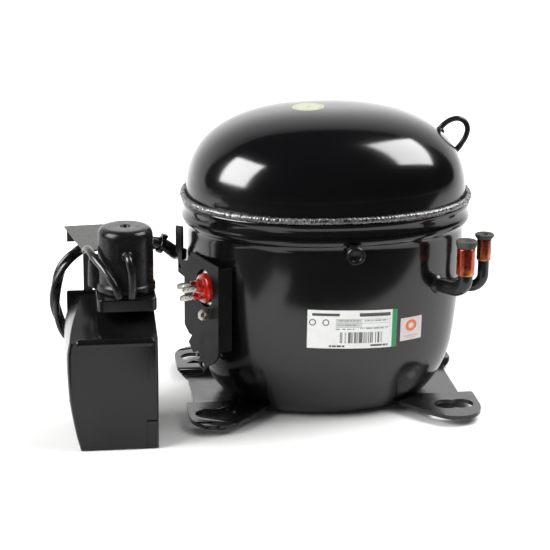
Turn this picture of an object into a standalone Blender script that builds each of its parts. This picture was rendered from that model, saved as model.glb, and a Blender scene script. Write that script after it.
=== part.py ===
"""Hermetic reciprocating compressor: welded steel shell, motor and pump inside, electrical box beside it.

Dimensions are in millimetres and become metres as each mesh is stored. The origin is the centre of the
shell's flat bottom, +Z is up, -Y is the front, -X is the terminal side and +X the tube side.
"""
import math

import bmesh
import bpy
from mathutils import Matrix, Vector

MM = 0.001
GAP = 0.3                    # clearance between pieces that touch on the real object

# Shell
SHELL_POWER = 2.2            # exponent of the shell's superellipse plan
SHELL_ASPECT = 0.778         # plan depth over plan length
SHELL_SIDES = 36
WALL = 3.2
TUBE_ROW = 6                 # row of the bowl's profile at the height where the tubes leave
DOME_PROFILE = [(20, 224.4), (46, 220.6), (67, 214.2), (83, 205.5), (94.5, 195.3), (101.4, 182), (104, 167),
                (104.5, 157), (104.5, 148.6)]
BOWL_PROFILE = [(56, 0), (70, 2.2), (80.5, 10), (88.5, 21.5), (94.5, 35), (99.5, 62), (102.5, 96),
                (103.5, 125), (103.5, 137), (107, 141), (108, 145), (108, 156)]
BEAD_RADIUS = 1.9
RIM_LENGTH = BOWL_PROFILE[-1][0]
EYE_ROUTE = [(88.2, 9, 202.6), (90.4, 9, 205.4), (95, 9, 208.6), (101, 9, 210), (106.4, 9, 207.6),
             (109, 9, 202), (107.6, 9, 195.6), (104.4, 9, 190.2), (102.2, 9, 186.4)]
EYE_RADIUS = 2.1

# Feet: one pressed plate at each side, its strip on the floor and its two pads raised
PLATE_THICKNESS = 3.0
PAD_RAISE = 5.5
STRIP_X = 101.5
STRIP_Y = 34.0
PAD_X = 109.0
PAD_Y = 88.5
PAD_STEP = 3.0               # run of the step between a strip and a pad
RAMP_SLOPE = (0.565, 0.825)  # direction in plan in which a pad's inner ramp rises
RAMP_FROM = 52.0
RAMP_TO = 65.0
FOOT_EDGE = [(STRIP_X, STRIP_Y), (PAD_X, STRIP_Y + 3.5), (PAD_X, 66), (107.5, 75), (103, 82.5), (96, 87.3),
             (88, PAD_Y), (79, 86), (66, 74), (54, 58), (47, 50)]
SEAT_LENGTH = 72.2           # half length of the foot's cut-out at floor level
SEAT_TOP = 2.8               # height where the cut-out begins to follow the bowl
SEAT_GAP = 0.45
SLOT_CENTRE = (89.5, 62.5)
SLOT_SPACING = 11.0
SLOT_RADIUS = 9.2

# Pump and motor, all on the vertical shaft axis
SHAFT_RADIUS = 9.0
STROKE = 20.0
CRANK_THROW = STROKE / 2
BORE_RADIUS = 19.0
CYLINDER_Z = 129.0
PISTON_FACE_X = 72.0
PISTON_LENGTH = 22.0
CYLINDER_X = (29.0, 73.0)
HOUSING_HALF = 25.0
STATOR_Z = (40.0, 84.0)
STATOR_HALF = 54.0
STATOR_BORE = 28.7
ROTOR_RADIUS = 28.0
ROTOR_Z = (38.0, 88.0)
DECK_Z = (104.0, 112.0)
DECK_HALF = 50.0
CRANKPIN_RADIUS = 7.0
CRANK_WEB_Z = (112.5, 119.5)
CRANKPIN_TOP = 138.5
SLIDER_HALF = (10.0, 9.0)
SLIDER_Z = (121.0, 137.0)
YOKE_WALL = 4.0
PORT_Y = 8.5
REED_ROOT = -13.5
REED_THICKNESS = 0.4
SPRING_PLACE = (50.0, 36.0)
SPRING_Z = (14.5, 38.0)
SPRING_TURNS = 3.5
SPRING_RADIUS = 9.0
SPRING_WIRE = 1.2
SPRING_STEPS = 9             # straight pieces in one turn of a spring

# Terminal side: a plane square to SIDE_NORMAL, measured s towards the front and z up
SIDE_TURN = math.radians(20)
SIDE_NORMAL = Vector((-math.cos(SIDE_TURN), -math.sin(SIDE_TURN), 0))
SIDE_ALONG = Vector((math.sin(SIDE_TURN), -math.cos(SIDE_TURN), 0))
FENCE_D = 103.0
FENCE_THICKNESS = 1.5
TERMINAL_S = 8.0
TERMINAL_Z = 99.0
HEADER_RADIUS = 13.0
PIN_RADIUS = 1.2
PIN_CIRCLE = 5.2
PIN_ANGLES = (150, 30, 270)
PIN_SIDES = 12
FENCE_EDGE = [(-27, 61), (-19, 56), (-14, 56), (-20, 49), (-12, 43), (-4, 47), (0, 44), (-4, 38), (6, 33),
              (13, 40), (24, 46), (31, 54), (31, 121), (-14, 121), (-22, 112), (-31, 110), (-31, 136),
              (-42, 134), (-42, 113), (-38, 112), (-38, 99), (-27, 98)]

# Tube stubs: plan angle parameter on the shell, stand-off, height of the way out and of the open end
TUBE_STUBS = {
    "suction": {"at": -45, "reach": 25.0, "z": 101.5, "top": 134.4, "radius": 5.5, "bore": 4.5, "bend": 10.0,
                "sleeve": 20.0, "cap": 5.3, "lip": 1.1},
    "discharge": {"at": -23, "reach": 19.0, "z": 92.5, "top": 130.4, "radius": 4.2, "bore": 3.3, "bend": 11.0,
                  "sleeve": 16.0, "cap": 3.6, "lip": 1.7},
}
SLEEVE_WALL = 0.9
CAP_STEM = 8.0
PROCESS_X = 8.0
PROCESS_Z = 134.2
PROCESS_RADIUS = 5.0
PROCESS_BORE = 3.8
PROCESS_REACH = (70.0, 88.0)

# Electrical box, standing on the floor beside the shell
BOX_X = (-198.0, -134.0)
BOX_FRONT = -105.0
BOX_BACK = -38.0
BOX_TOP_FRONT = 81.0
BOX_TOP_BACK = 96.0
BOX_SLOPE_END = -47.0
BOX_WALL = 2.2
BACK_PLATE_TOP = 98.5
BOOT_CENTRE = (-153.5, -59.0)
BOOT_RADIUS = 20.0
SOCKET_Z = (96.6, 105.6)
BOOT_Z = (105.9, 152.5)
BRACKET_Z = 127.0
HARNESS_RADIUS = 4.2
HARNESS_ROUTE = [(-176, -34.5, 48), (-177.5, -27, 47), (-188, -15, 49), (-198.5, -11, 62), (-203.5, -12, 82),
                 (-200.5, -11, 102), (-191, -8, 116), (-176, 0, 121.6), (-155, 8, 121.8), (-135, 9, 120.6),
                 (-123, 10.5, 117.5), (-115.5, 12.5, 112.5), (-110.8, 18.5, 108), (-108, 27, 105)]
TIE_AT = 10                  # route point that the cable tie holds
LEAD_RADIUS = 2.7
LEAD_ROUTES = {
    "capacitor_lead_1": [(-153.3, -80.4, 135.5), (-152.6, -85.2, 133.5), (-150.6, -86.6, 124),
                         (-150.4, -86.2, 114), (-151, -85.2, 106.2)],
    "capacitor_lead_2": [(-182, -42.5, 130.2), (-180, -52, 134), (-176.8, -66, 132.5), (-169.5, -78, 125.5),
                         (-162.5, -85, 115.5), (-159.6, -85.2, 106.2)],
}

FINISHES = {
    "shell_black": ((0.008, 0.008, 0.009), 0.16, 0.0),
    "weld": ((0.16, 0.155, 0.15), 0.38, 0.6),
    "plate_black": ((0.02, 0.02, 0.021), 0.3, 0.1),
    "plastic_black": ((0.012, 0.012, 0.012), 0.34, 0.0),
    "rubber": ((0.018, 0.018, 0.017), 0.62, 0.0),
    "insulator_red": ((0.62, 0.018, 0.012), 0.3, 0.0),
    "tin": ((0.62, 0.6, 0.56), 0.3, 1.0),
    "copper": ((0.62, 0.16, 0.05), 0.3, 0.9),
    "grey_steel": ((0.16, 0.16, 0.165), 0.42, 0.6),
    "bright_steel": ((0.55, 0.55, 0.56), 0.28, 1.0),
    "cast_iron": ((0.12, 0.12, 0.125), 0.55, 0.7),
    "lamination": ((0.2, 0.2, 0.21), 0.45, 0.8),
    "enamelled_copper": ((0.45, 0.14, 0.05), 0.35, 0.6),
    "aluminium": ((0.6, 0.61, 0.62), 0.35, 1.0),
    "ivory_plastic": ((0.7, 0.67, 0.58), 0.45, 0.0),
    "gasket": ((0.25, 0.24, 0.22), 0.8, 0.0),
    "sleeving": ((0.01, 0.01, 0.01), 0.45, 0.0),
}


# ---------------------------------------------------------------- shape helpers

def clear_scene():
    """Remove every object that the start-up file holds."""
    for item in list(bpy.data.objects):
        bpy.data.objects.remove(item, do_unlink=True)


def finish_material(finish):
    """Return the Principled material of a finish, made the first time it is asked for."""
    found = bpy.data.materials.get(finish)
    if found:
        return found
    colour, roughness, metallic = FINISHES[finish]
    made = bpy.data.materials.new(finish)
    made.use_nodes = True
    shader = made.node_tree.nodes["Principled BSDF"]
    shader.inputs["Base Color"].default_value = (*colour, 1)
    shader.inputs["Roughness"].default_value = roughness
    shader.inputs["Metallic"].default_value = metallic
    made.diffuse_color = (*colour, 1)
    return made


def store(name, bm, finish, origin=(0, 0, 0), smooth=True):
    """Turn a millimetre bmesh into a named object in metres, with its origin where it turns or slides."""
    place = Vector(origin)
    bmesh.ops.recalc_face_normals(bm, faces=bm.faces)
    bm.transform(Matrix.Scale(MM, 4) @ Matrix.Translation(-place))
    mesh = bpy.data.meshes.new(name)
    bm.to_mesh(mesh)
    bm.free()
    if smooth:
        mesh.shade_smooth()
        mesh.set_sharp_from_angle(angle=math.radians(35))
    item = bpy.data.objects.new(name, mesh)
    item.location = place * MM
    bpy.context.collection.objects.link(item)
    mesh.materials.append(finish_material(finish))
    return item


def loft(bm, rings, closed=False):
    """Bridge rings of equal count; the ends are capped, or joined to each other when closed."""
    rows = [[bm.verts.new(point) for point in ring] for ring in rings]
    pairs = list(zip(rows, rows[1:]))
    if closed:
        pairs.append((rows[-1], rows[0]))
    else:
        bm.faces.new(rows[0])
        bm.faces.new(rows[-1])
    for low, high in pairs:
        count = len(low)
        for i in range(count):
            j = (i + 1) % count
            bm.faces.new((low[i], low[j], high[j], high[i]))
    return bm


def circle(radius, z, sides, centre=(0, 0)):
    """Points of a horizontal circle."""
    turn = 2 * math.pi / sides
    return [Vector((centre[0] + radius * math.cos(i * turn), centre[1] + radius * math.sin(i * turn), z))
            for i in range(sides)]


def turned(profile, sides=24, centre=(0, 0), ring=False, matrix=None):
    """Turn a list of (radius, z) about a vertical axis; a ring has its own bore, a solid is capped."""
    bm = bmesh.new()
    loft(bm, [circle(radius, z, sides, centre) for radius, z in profile], closed=ring)
    if matrix:
        bm.transform(matrix)
    return bm


def tube_profile(outer, inner, low, high):
    """Profile of a plain turned sleeve."""
    return [(outer, low), (outer, high), (inner, high), (inner, low)]


def box(low, high, matrix=None):
    """A box between two corners."""
    bm = bmesh.new()
    (x0, y0, z0), (x1, y1, z1) = low, high
    rings = [[Vector((x0, y0, z)), Vector((x1, y0, z)), Vector((x1, y1, z)), Vector((x0, y1, z))]
             for z in (z0, z1)]
    loft(bm, rings)
    if matrix:
        bm.transform(matrix)
    return bm


def prism(outline, low, high, matrix=None):
    """Extrude a flat outline along local Z."""
    bm = bmesh.new()
    loft(bm, [[Vector((x, y, z)) for x, y in outline] for z in (low, high)])
    if matrix:
        bm.transform(matrix)
    return bm


def rounded(x0, x1, y0, y1, radius, steps=4):
    """Outline of a rectangle with round corners."""
    corners = [(x1 - radius, y0 + radius, -90), (x1 - radius, y1 - radius, 0),
               (x0 + radius, y1 - radius, 90), (x0 + radius, y0 + radius, 180)]
    points = []
    for cx, cy, start in corners:
        for i in range(steps + 1):
            angle = math.radians(start + 90 * i / steps)
            points.append((cx + radius * math.cos(angle), cy + radius * math.sin(angle)))
    return points


def smooth_route(points, spacing):
    """Points about one spacing apart on a Catmull-Rom curve through the route's points."""
    knots = [Vector(p) for p in points]
    knots = [knots[0] * 2 - knots[1]] + knots + [knots[-1] * 2 - knots[-2]]
    route = []
    for a, b, c, d in zip(knots, knots[1:], knots[2:], knots[3:]):
        steps = max(1, round((c - b).length / spacing))
        for i in range(steps):
            t = i / steps
            route.append(0.5 * (2 * b + (c - a) * t + (2 * a - 5 * b + 4 * c - d) * t * t
                                + (3 * b - a - 3 * c + d) * t ** 3))
    route.append(knots[-2])
    return route


def route_rings(route, radius, sides, side_hint=(0, 0, 1)):
    """Rings square to a route, carried along it without twist."""
    rings = []
    across = Vector(side_hint)
    for i, point in enumerate(route):
        along = (route[min(i + 1, len(route) - 1)] - route[max(i - 1, 0)]).normalized()
        across = (across - along * across.dot(along)).normalized()
        other = along.cross(across)
        turn = 2 * math.pi / sides
        rings.append([point + across * radius * math.cos(k * turn) + other * radius * math.sin(k * turn)
                      for k in range(sides)])
    return rings


def pipe(route, outer, inner=0.0, sides=12, side_hint=(0, 0, 1)):
    """A round bar along a route, or a tube with open ends when it has an inner radius."""
    bm = bmesh.new()
    rings = route_rings(route, outer, sides, side_hint)
    if inner:
        rings += route_rings(route, inner, sides, side_hint)[::-1]
    return loft(bm, rings, closed=bool(inner))


def cable(name, points, radius, finish, spacing, resolution=2):
    """A flexible round cable: a bevelled curve through a smooth route."""
    route = smooth_route(points, spacing)
    data = bpy.data.curves.new(name, "CURVE")
    data.dimensions = "3D"
    data.bevel_depth = radius * MM
    data.bevel_resolution = resolution
    data.use_fill_caps = True
    spline = data.splines.new("POLY")
    spline.points.add(len(route) - 1)
    for knot, point in zip(spline.points, route):
        knot.co = (*(point * MM), 1)
    item = bpy.data.objects.new(name, data)
    bpy.context.collection.objects.link(item)
    data.materials.append(finish_material(finish))
    return item


def guide(name, bm):
    """A cutter or an addition that only a Boolean uses."""
    item = store(name, bm, "plastic_black", smooth=False)
    item.hide_render = True
    item.display_type = "WIRE"
    return item


def combine(item, name, bm, operation):
    """Cut a shape from an object, or join it on."""
    tool = item.modifiers.new(name, "BOOLEAN")
    tool.operation = operation
    tool.object = guide(name, bm)


def along_x(matrix_origin=(0, 0, 0)):
    """Matrix that lays a turned shape's axis along +X."""
    return Matrix.Translation(matrix_origin) @ Matrix.Rotation(math.radians(90), 4, "Y")


def side_frame():
    """Matrix from (s, z, depth out of the shell) to the world."""
    frame = Matrix((SIDE_ALONG, (0, 0, 1), SIDE_NORMAL)).transposed()
    return frame.to_4x4()


# ---------------------------------------------------------------- shell and base

def oval_point(length, angle):
    """Point on the shell's plan outline of a given half length."""
    c = math.cos(angle)
    s = math.sin(angle)
    x = length * math.copysign(abs(c) ** (2 / SHELL_POWER), c)
    y = length * SHELL_ASPECT * math.copysign(abs(s) ** (2 / SHELL_POWER), s)
    return x, y


def oval(length, z):
    """Ring of the shell's plan outline."""
    turn = 2 * math.pi / SHELL_SIDES
    return [Vector((*oval_point(length, i * turn), z)) for i in range(SHELL_SIDES)]


def inward(profile, wall):
    """Profile moved one wall thickness towards the inside of the shell."""
    middle = Vector((0, 130))
    moved = []
    for i, point in enumerate(profile):
        here = Vector(point)
        run = Vector(profile[min(i + 1, len(profile) - 1)]) - Vector(profile[max(i - 1, 0)])
        normal = Vector((-run.y, run.x)).normalized()
        if normal.dot(middle - here) < 0:
            normal = -normal
        moved.append(tuple(here + normal * wall))
    return moved


def shell_half(profile):
    """Closed wall of a shell half, from its outer crown round the open edge to its inner crown."""
    inner = inward(profile, WALL)
    inner[-1] = (profile[-1][0] - WALL, profile[-1][1])
    bm = bmesh.new()
    return loft(bm, [oval(a, z) for a, z in profile] + [oval(a, z) for a, z in inner[::-1]])


def make_shell():
    """Bowl, dome, the weld between them and the lifting eye."""
    store("upper_shell", shell_half(DOME_PROFILE), "shell_black")
    lower = store("lower_shell", shell_half(BOWL_PROFILE), "shell_black")
    for name, stub in TUBE_STUBS.items():
        hole = pipe(stub_route(stub)[:2], stub["radius"] + GAP)
        combine(lower, name + "_hole", hole, "DIFFERENCE")
    low, high = PROCESS_REACH
    radius = PROCESS_RADIUS + GAP
    process = turned([(radius, low - 10), (radius, high + 10)], 16, matrix=front_frame())
    combine(lower, "process_hole", process, "DIFFERENCE")
    radius = HEADER_RADIUS + GAP
    terminal = turned([(radius, 85), (radius, 110)], 24, (TERMINAL_S, TERMINAL_Z), matrix=side_frame())
    combine(lower, "terminal_hole", terminal, "DIFFERENCE")

    bead = bmesh.new()
    edge = RIM_LENGTH - WALL + BEAD_RADIUS
    height = BOWL_PROFILE[-1][1] + GAP + BEAD_RADIUS
    section = [(edge + BEAD_RADIUS * math.cos(math.radians(60 * i)),
                height + BEAD_RADIUS * math.sin(math.radians(60 * i))) for i in range(6)]
    loft(bead, [oval(a, z) for a, z in section], closed=True)
    store("weld_bead", bead, "weld")

    eye = pipe(smooth_route(EYE_ROUTE, 3.4), EYE_RADIUS, sides=8, side_hint=(0, 1, 0))
    store("lifting_eye", eye, "plate_black")


def plate_height(x, y):
    """How far a foot is pressed up: pads behind a step beside its strip and a ramp inwards."""
    step = (abs(y) - STRIP_Y - 0.5) / PAD_STEP
    ramp = (RAMP_SLOPE[0] * abs(x) + RAMP_SLOPE[1] * abs(y) - RAMP_FROM) / (RAMP_TO - RAMP_FROM)
    return PAD_RAISE * max(0.0, min(1.0, step, ramp))


def slot_outline(centre):
    """Two circles side by side that run into each other, as one outline."""
    half = SLOT_SPACING / 2
    meet = math.acos(half / SLOT_RADIUS)
    steps = 14
    outline = []
    for side in (1, -1):
        for k in range(steps + 1):
            angle = -math.pi + meet + (2 * math.pi - 2 * meet) * k / steps
            outline.append((centre[0] + side * (half + SLOT_RADIUS * math.cos(angle)),
                            centre[1] + side * SLOT_RADIUS * math.sin(angle)))
    return [p for k, p in enumerate(outline) if (Vector(p) - Vector(outline[k - 1])).length > 0.01]


def bowl_seat():
    """Solid a little larger than the bowl's lower end, which a foot is cut to fit."""
    outside = inward(BOWL_PROFILE[:5], -SEAT_GAP)[2:4]
    rings = [oval(SEAT_LENGTH, -5), oval(SEAT_LENGTH, SEAT_TOP)] + [oval(a, z) for a, z in outside]
    return loft(bmesh.new(), rings)


def make_foot(name, side):
    """Pressed foot: a low strip beside the shell between two raised, slotted pads."""
    outline = [(side * x, y) for x, y in FOOT_EDGE] + [(side * x, -y) for x, y in FOOT_EDGE[::-1]]
    bm = bmesh.new()
    bm.faces.new([bm.verts.new((x, y, PLATE_THICKNESS)) for x, y in outline])
    cuts = []
    for end in (-1, 1):
        cuts += [((0, end * (STRIP_Y + 0.5 + run), 0), (0, 1, 0)) for run in (0, PAD_STEP)]
        normal = Vector((RAMP_SLOPE[0] * side, RAMP_SLOPE[1] * end, 0)).normalized()
        cuts += [(normal * s, normal) for s in (RAMP_FROM, RAMP_TO)]
    for place, normal in cuts:
        parts = bm.verts[:] + bm.edges[:] + bm.faces[:]
        bmesh.ops.bisect_plane(bm, geom=parts, plane_co=place, plane_no=normal)
    bmesh.ops.triangulate(bm, faces=bm.faces)
    grown = bmesh.ops.extrude_face_region(bm, geom=bm.faces[:])
    for vert in grown["geom"]:
        if isinstance(vert, bmesh.types.BMVert):
            vert.co.z = 0
    for vert in bm.verts:
        vert.co.z += plate_height(vert.co.x, vert.co.y)
    foot = store(name, bm, "plate_black")
    combine(foot, name + "_seat", bowl_seat(), "DIFFERENCE")
    for end in (-1, 1):
        slot = prism(slot_outline((side * SLOT_CENTRE[0], end * SLOT_CENTRE[1])), -2, 20)
        combine(foot, name + ("_slot_rear" if end > 0 else "_slot_front"), slot, "DIFFERENCE")


# ---------------------------------------------------------------- tubes

def stub_route(stub):
    """Out of the shell square to its wall, then a round bend up to the open end."""
    angle = math.radians(stub["at"])
    x, y = oval_point(BOWL_PROFILE[TUBE_ROW][0] - 0.4, angle)
    a = BOWL_PROFILE[TUBE_ROW][0]
    power = SHELL_POWER - 1
    out = Vector((math.copysign(abs(x / a) ** power / a, x),
                  math.copysign(abs(y / (a * SHELL_ASPECT)) ** power / (a * SHELL_ASPECT), y), 0)).normalized()
    start = Vector((x, y, stub["z"]))
    bend = stub["bend"]
    route = [start - out * 14, start + out * (stub["reach"] - bend)]
    centre = route[-1] + Vector((0, 0, bend))
    steps = 6
    for i in range(1, steps + 1):
        turn = math.radians(90 * i / steps)
        route.append(centre + out * bend * math.sin(turn) - Vector((0, 0, bend)) * math.cos(turn))
    end = route[-1].copy()
    end.z = stub["top"] - 4
    route.append(end)
    return route


def front_frame():
    """Matrix that lays a turned shape's axis along -Y through the process stub."""
    return Matrix.Translation((PROCESS_X, 0, PROCESS_Z)) @ Matrix.Rotation(math.radians(90), 4, "X")


def make_tubes():
    """Suction and discharge stubs with copper ends and rubber plugs, and the capped process stub."""
    for name, stub in TUBE_STUBS.items():
        route = stub_route(stub)
        store(name + "_tube", pipe(route, stub["radius"], stub["bore"], 14), "shell_black")
        foot = (route[-1].x, route[-1].y)
        inner = stub["radius"] + GAP
        outer = inner + SLEEVE_WALL
        top = stub["top"]
        sleeve = tube_profile(outer, inner, top - stub["sleeve"], top)
        store(name + "_copper_end", turned(sleeve, 20, foot, True), "copper")
        stem = stub["bore"] - GAP
        low = top + GAP
        high = low + stub["cap"]
        lip = outer + stub["lip"]
        profile = [(stem, low - CAP_STEM), (stem, low), (outer + 0.3, low), (lip, high - 2.0), (lip, high - 0.5),
                   (lip - 0.6, high), (0.5 * outer, high), (0.35 * outer, high - 1.6)]
        store(name + "_plug", turned(profile, 16, foot), "rubber", (*foot, low))
    low, high = PROCESS_REACH
    tube = turned(tube_profile(PROCESS_RADIUS, PROCESS_BORE, low, high), 16, ring=True, matrix=front_frame())
    store("process_tube", tube, "shell_black")
    profile = [(6.0, high - 4), (6.8, high - 3.4), (6.8, high + 2.2), (5.6, high + 3.2), (3.0, high + 3.2),
               (2.4, high + 2.2)]
    plug = store("process_cap", turned(profile, 20, matrix=front_frame()), "rubber")
    recess = PROCESS_RADIUS + GAP
    recess = turned([(recess, high - 7), (recess, high + 0.4)], 20, matrix=front_frame())
    combine(plug, "process_cap_recess", recess, "DIFFERENCE")


# ---------------------------------------------------------------- terminal side

def make_terminal():
    """Hermetic terminal with its insulator and blades, the fence round it and the earth tab."""
    frame = side_frame()
    centre = (TERMINAL_S, TERMINAL_Z)
    cup = [(HEADER_RADIUS - 2, 90), (HEADER_RADIUS, 92), (HEADER_RADIUS, 102.0)]
    header = store("terminal_body", turned(cup, 24, centre, matrix=frame), "tin")
    boss = [(10.9, 102.3), (10.9, 106.0), (9.8, 107.2), (7.6, 107.8), (7.0, 111.5)]
    insulator = store("terminal_insulator", turned(boss, 24, centre, matrix=frame), "insulator_red")
    for i, degrees in enumerate(PIN_ANGLES):
        turn = math.radians(degrees)
        place = (TERMINAL_S + PIN_CIRCLE * math.cos(turn), TERMINAL_Z + PIN_CIRCLE * math.sin(turn))
        hole = turned([(PIN_RADIUS + GAP, 85), (PIN_RADIUS + GAP, 120)], 12, place, matrix=frame)
        combine(header, "header_hole_%d" % (i + 1), hole, "DIFFERENCE")
        hole = turned([(PIN_RADIUS + GAP, 85), (PIN_RADIUS + GAP, 120)], 12, place, matrix=frame)
        combine(insulator, "insulator_hole_%d" % (i + 1), hole, "DIFFERENCE")
        bm = bmesh.new()
        blade = [(1.0, 1.0, 86), (1.0, 1.0, 112.5), (0.5, 2.0, 114.5), (0.5, 2.0, 122.5), (0.5, 1.1, 124.5)]
        rings = []
        for thick, high, depth in blade:
            ring = []
            for k in range(PIN_SIDES):
                angle = 2 * math.pi * (k + 0.5) / PIN_SIDES
                x = place[0] + thick * PIN_RADIUS * math.cos(angle)
                y = place[1] + high * PIN_RADIUS * math.sin(angle)
                ring.append(Vector((x, y, depth)))
            rings.append(ring)
        loft(bm, rings)
        bm.transform(frame)
        store("terminal_pin_%d" % (i + 1), bm, "tin")

    sheet = prism(FENCE_EDGE, FENCE_D, FENCE_D + FENCE_THICKNESS, frame)
    fence = store("terminal_fence", sheet, "plate_black")
    combine(fence, "fence_window", turned([(14.0, 95), (14.0, 110)], 24, centre, matrix=frame), "DIFFERENCE")
    combine(fence, "fence_eye", turned([(1.8, 95), (1.8, 110)], 12, (-34.5, 104.5), matrix=frame), "DIFFERENCE")
    combine(fence, "fence_slot", prism(rounded(1, 7.5, 36.5, 40.5, 1.5, 2), 95, 110, frame), "DIFFERENCE")
    flange = box((29.5, 56, 93.5), (31, 119, FENCE_D + 0.5), frame)
    combine(fence, "fence_flange", flange, "UNION")

    tab = [(0, 0), (6.5, 0), (9, 2), (9, 6.5), (6.5, 8.5), (0, 8.5)]
    turn = frame @ Matrix.Translation((17.0, 78.0, FENCE_D + FENCE_THICKNESS + GAP)) @ Matrix.Rotation(
        math.radians(-90), 4, "Y")
    earth = store("earth_tab", prism(tab, -0.5, 0.5, turn), "tin")
    combine(earth, "earth_tab_hole", turned([(1.9, -3), (1.9, 3)], 12, (5.4, 4.25), matrix=turn), "DIFFERENCE")


# ---------------------------------------------------------------- electrical box and wiring

def make_electrical_box():
    """Snap-on cover with its back plate, relay, protector and terminal strip inside."""
    left, right = BOX_X
    outline = [(right, 0), (right, BOX_TOP_BACK), (left + 12, BOX_TOP_BACK), (left + 4, 86), (left + 0.6, 76),
               (left, 66), (left + 0.2, 54), (left + 1.2, 38), (left + 3.2, 24), (left + 5.8, 10), (left + 8.4, 0)]
    upright = Matrix.Rotation(math.radians(90), 4, "X")
    bm = prism(outline, -BOX_BACK, -BOX_FRONT, upright)
    slope_from = Vector((0, BOX_FRONT, BOX_TOP_FRONT))
    slope_to = Vector((0, BOX_SLOPE_END, BOX_TOP_BACK))
    slope = (slope_to - slope_from).cross(Vector((-1, 0, 0)))
    if slope.z < 0:
        slope = -slope
    cut = bmesh.ops.bisect_plane(bm, geom=bm.verts[:] + bm.edges[:] + bm.faces[:], plane_co=slope_from,
                                 plane_no=slope, clear_outer=True)
    bmesh.ops.holes_fill(bm, edges=[e for e in cut["geom_cut"] if isinstance(e, bmesh.types.BMEdge)])
    cover = store("box_cover", bm, "plastic_black")
    middle_x = (left + right) / 2
    inside = [(middle_x + (x - middle_x) * 0.925, 2.4 + z * 0.88) for x, z in outline]
    hollow = prism(inside, -BOX_BACK - 5, -BOX_FRONT - BOX_WALL, upright)
    bmesh.ops.bisect_plane(hollow, geom=hollow.verts[:] + hollow.edges[:] + hollow.faces[:],
                           plane_co=slope_from - slope.normalized() * 2.6, plane_no=slope, clear_outer=True)
    bmesh.ops.holes_fill(hollow, edges=[e for e in hollow.edges if len(e.link_faces) == 1])
    combine(cover, "cover_hollow", hollow, "DIFFERENCE")

    plate_low = BOX_BACK + GAP
    plate = [(right - 1.5, 1.5), (right - 1.5, BACK_PLATE_TOP), (left + 3.5, BACK_PLATE_TOP),
             (left + 2.5, BACK_PLATE_TOP - 1), (left + 2.5, 12), (left + 12, 1.5)]
    back = store("box_back_plate", prism(plate, -plate_low - 2.2, -plate_low, upright), "plastic_black")
    window = turned([(HARNESS_RADIUS + 1.0, 30), (HARNESS_RADIUS + 1.0, 42)], 16, (-176, 48), matrix=upright)
    combine(back, "harness_window", window, "DIFFERENCE")

    front = BOX_BACK - GAP
    store("start_relay", box((-166, front - 30, 8), (-139, front, 34)), "ivory_plastic")
    bm = turned([(15, 0), (16, 1), (16, 14), (13, 17)], 24, (-155, 56), matrix=upright)
    bm.transform(Matrix.Translation((0, front, 0)))
    store("overload_protector", bm, "rubber")
    store("terminal_strip", box((-186, front - 14, 14), (-171, front, 36)), "ivory_plastic")


def make_capacitor():
    """Capacitor in its rubber boot on a socket, the bracket behind it and its two leads."""
    x, y = BOOT_CENTRE
    low, high = SOCKET_Z
    socket = rounded(x - 22, x + 20.5, y - 26.5, y + 20.5, 5, 3)
    store("capacitor_socket", prism(socket, low, high), "plastic_black")
    z0, z1 = BOOT_Z
    r = BOOT_RADIUS
    profile = [(r + 1.2, z0), (r + 1.2, z0 + 5), (r + 0.2, z0 + 7), (r - 0.3, z1 - 8), (r - 1.1, z1 - 3.5),
               (r - 2.6, z1 - 1.2), (r - 5, z1), (3.2, z1), (2.6, z1 - 1.4), (1.2, z1 - 1.4)]
    boot = store("capacitor_boot", turned(profile, 28, (x, y)), "rubber")
    inside = turned([(r - 2.5, z0 - 2), (r - 2.5, z1 - 6)], 28, (x, y))
    combine(boot, "boot_hollow", inside, "DIFFERENCE")
    can = [(r - 3.2, z0 + 0.1), (r - 2.8, z0 + 1), (r - 2.8, z1 - 8), (r - 4, z1 - 6.3)]
    store("capacitor_can", turned(can, 28, (x, y)), "aluminium")

    plate = [(-158, 34), (-194.5, 30.5), (-182.5, -36), (-176, -36), (-172, -33), (-158, -33)]
    bracket = store("harness_bracket", prism(plate, BRACKET_Z, BRACKET_Z + 1.3), "grey_steel")
    leg = box((-183, -35.2, 70), (-176.5, -33.9, BRACKET_Z + 0.6))
    combine(bracket, "bracket_leg", leg, "UNION")
    lip = box((-193, 20, BRACKET_Z - 8), (-184, 21.3, BRACKET_Z + 0.6))
    combine(bracket, "bracket_lip", lip, "UNION")

    for name, route in LEAD_ROUTES.items():
        cable(name, route, LEAD_RADIUS, "sleeving", 4.5)


def make_harness():
    """Sleeved supply cable from the box, round under the bracket and across to the terminal side."""
    route = [Vector(point) for point in HARNESS_ROUTE]
    cable("harness", route, HARNESS_RADIUS, "sleeving", 9.0, 3)
    plug = rounded(-5.5, 5.5, -4.5, 4.5, 1.5, 2)
    direction = (route[-1] - route[-2]).normalized()
    place = route[-1] + direction * 0.4
    turn = Matrix.Translation(place) @ direction.to_track_quat("Z", "Y").to_matrix().to_4x4()
    store("harness_connector", prism(plug, 0, 16, turn), "plastic_black")
    direction = (route[TIE_AT + 1] - route[TIE_AT - 1]).normalized()
    turn = Matrix.Translation(route[TIE_AT]) @ direction.to_track_quat("Z", "Y").to_matrix().to_4x4()
    tie = store("cable_tie", turned(tube_profile(6.2, 4.6, -1.8, 1.8), 18, ring=True, matrix=turn), "rubber")
    head = box((-2.6, 5.4, -2.6), (2.6, 9.6, 2.6), turn)
    combine(tie, "tie_head", head, "UNION")


# ---------------------------------------------------------------- pump and motor

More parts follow.
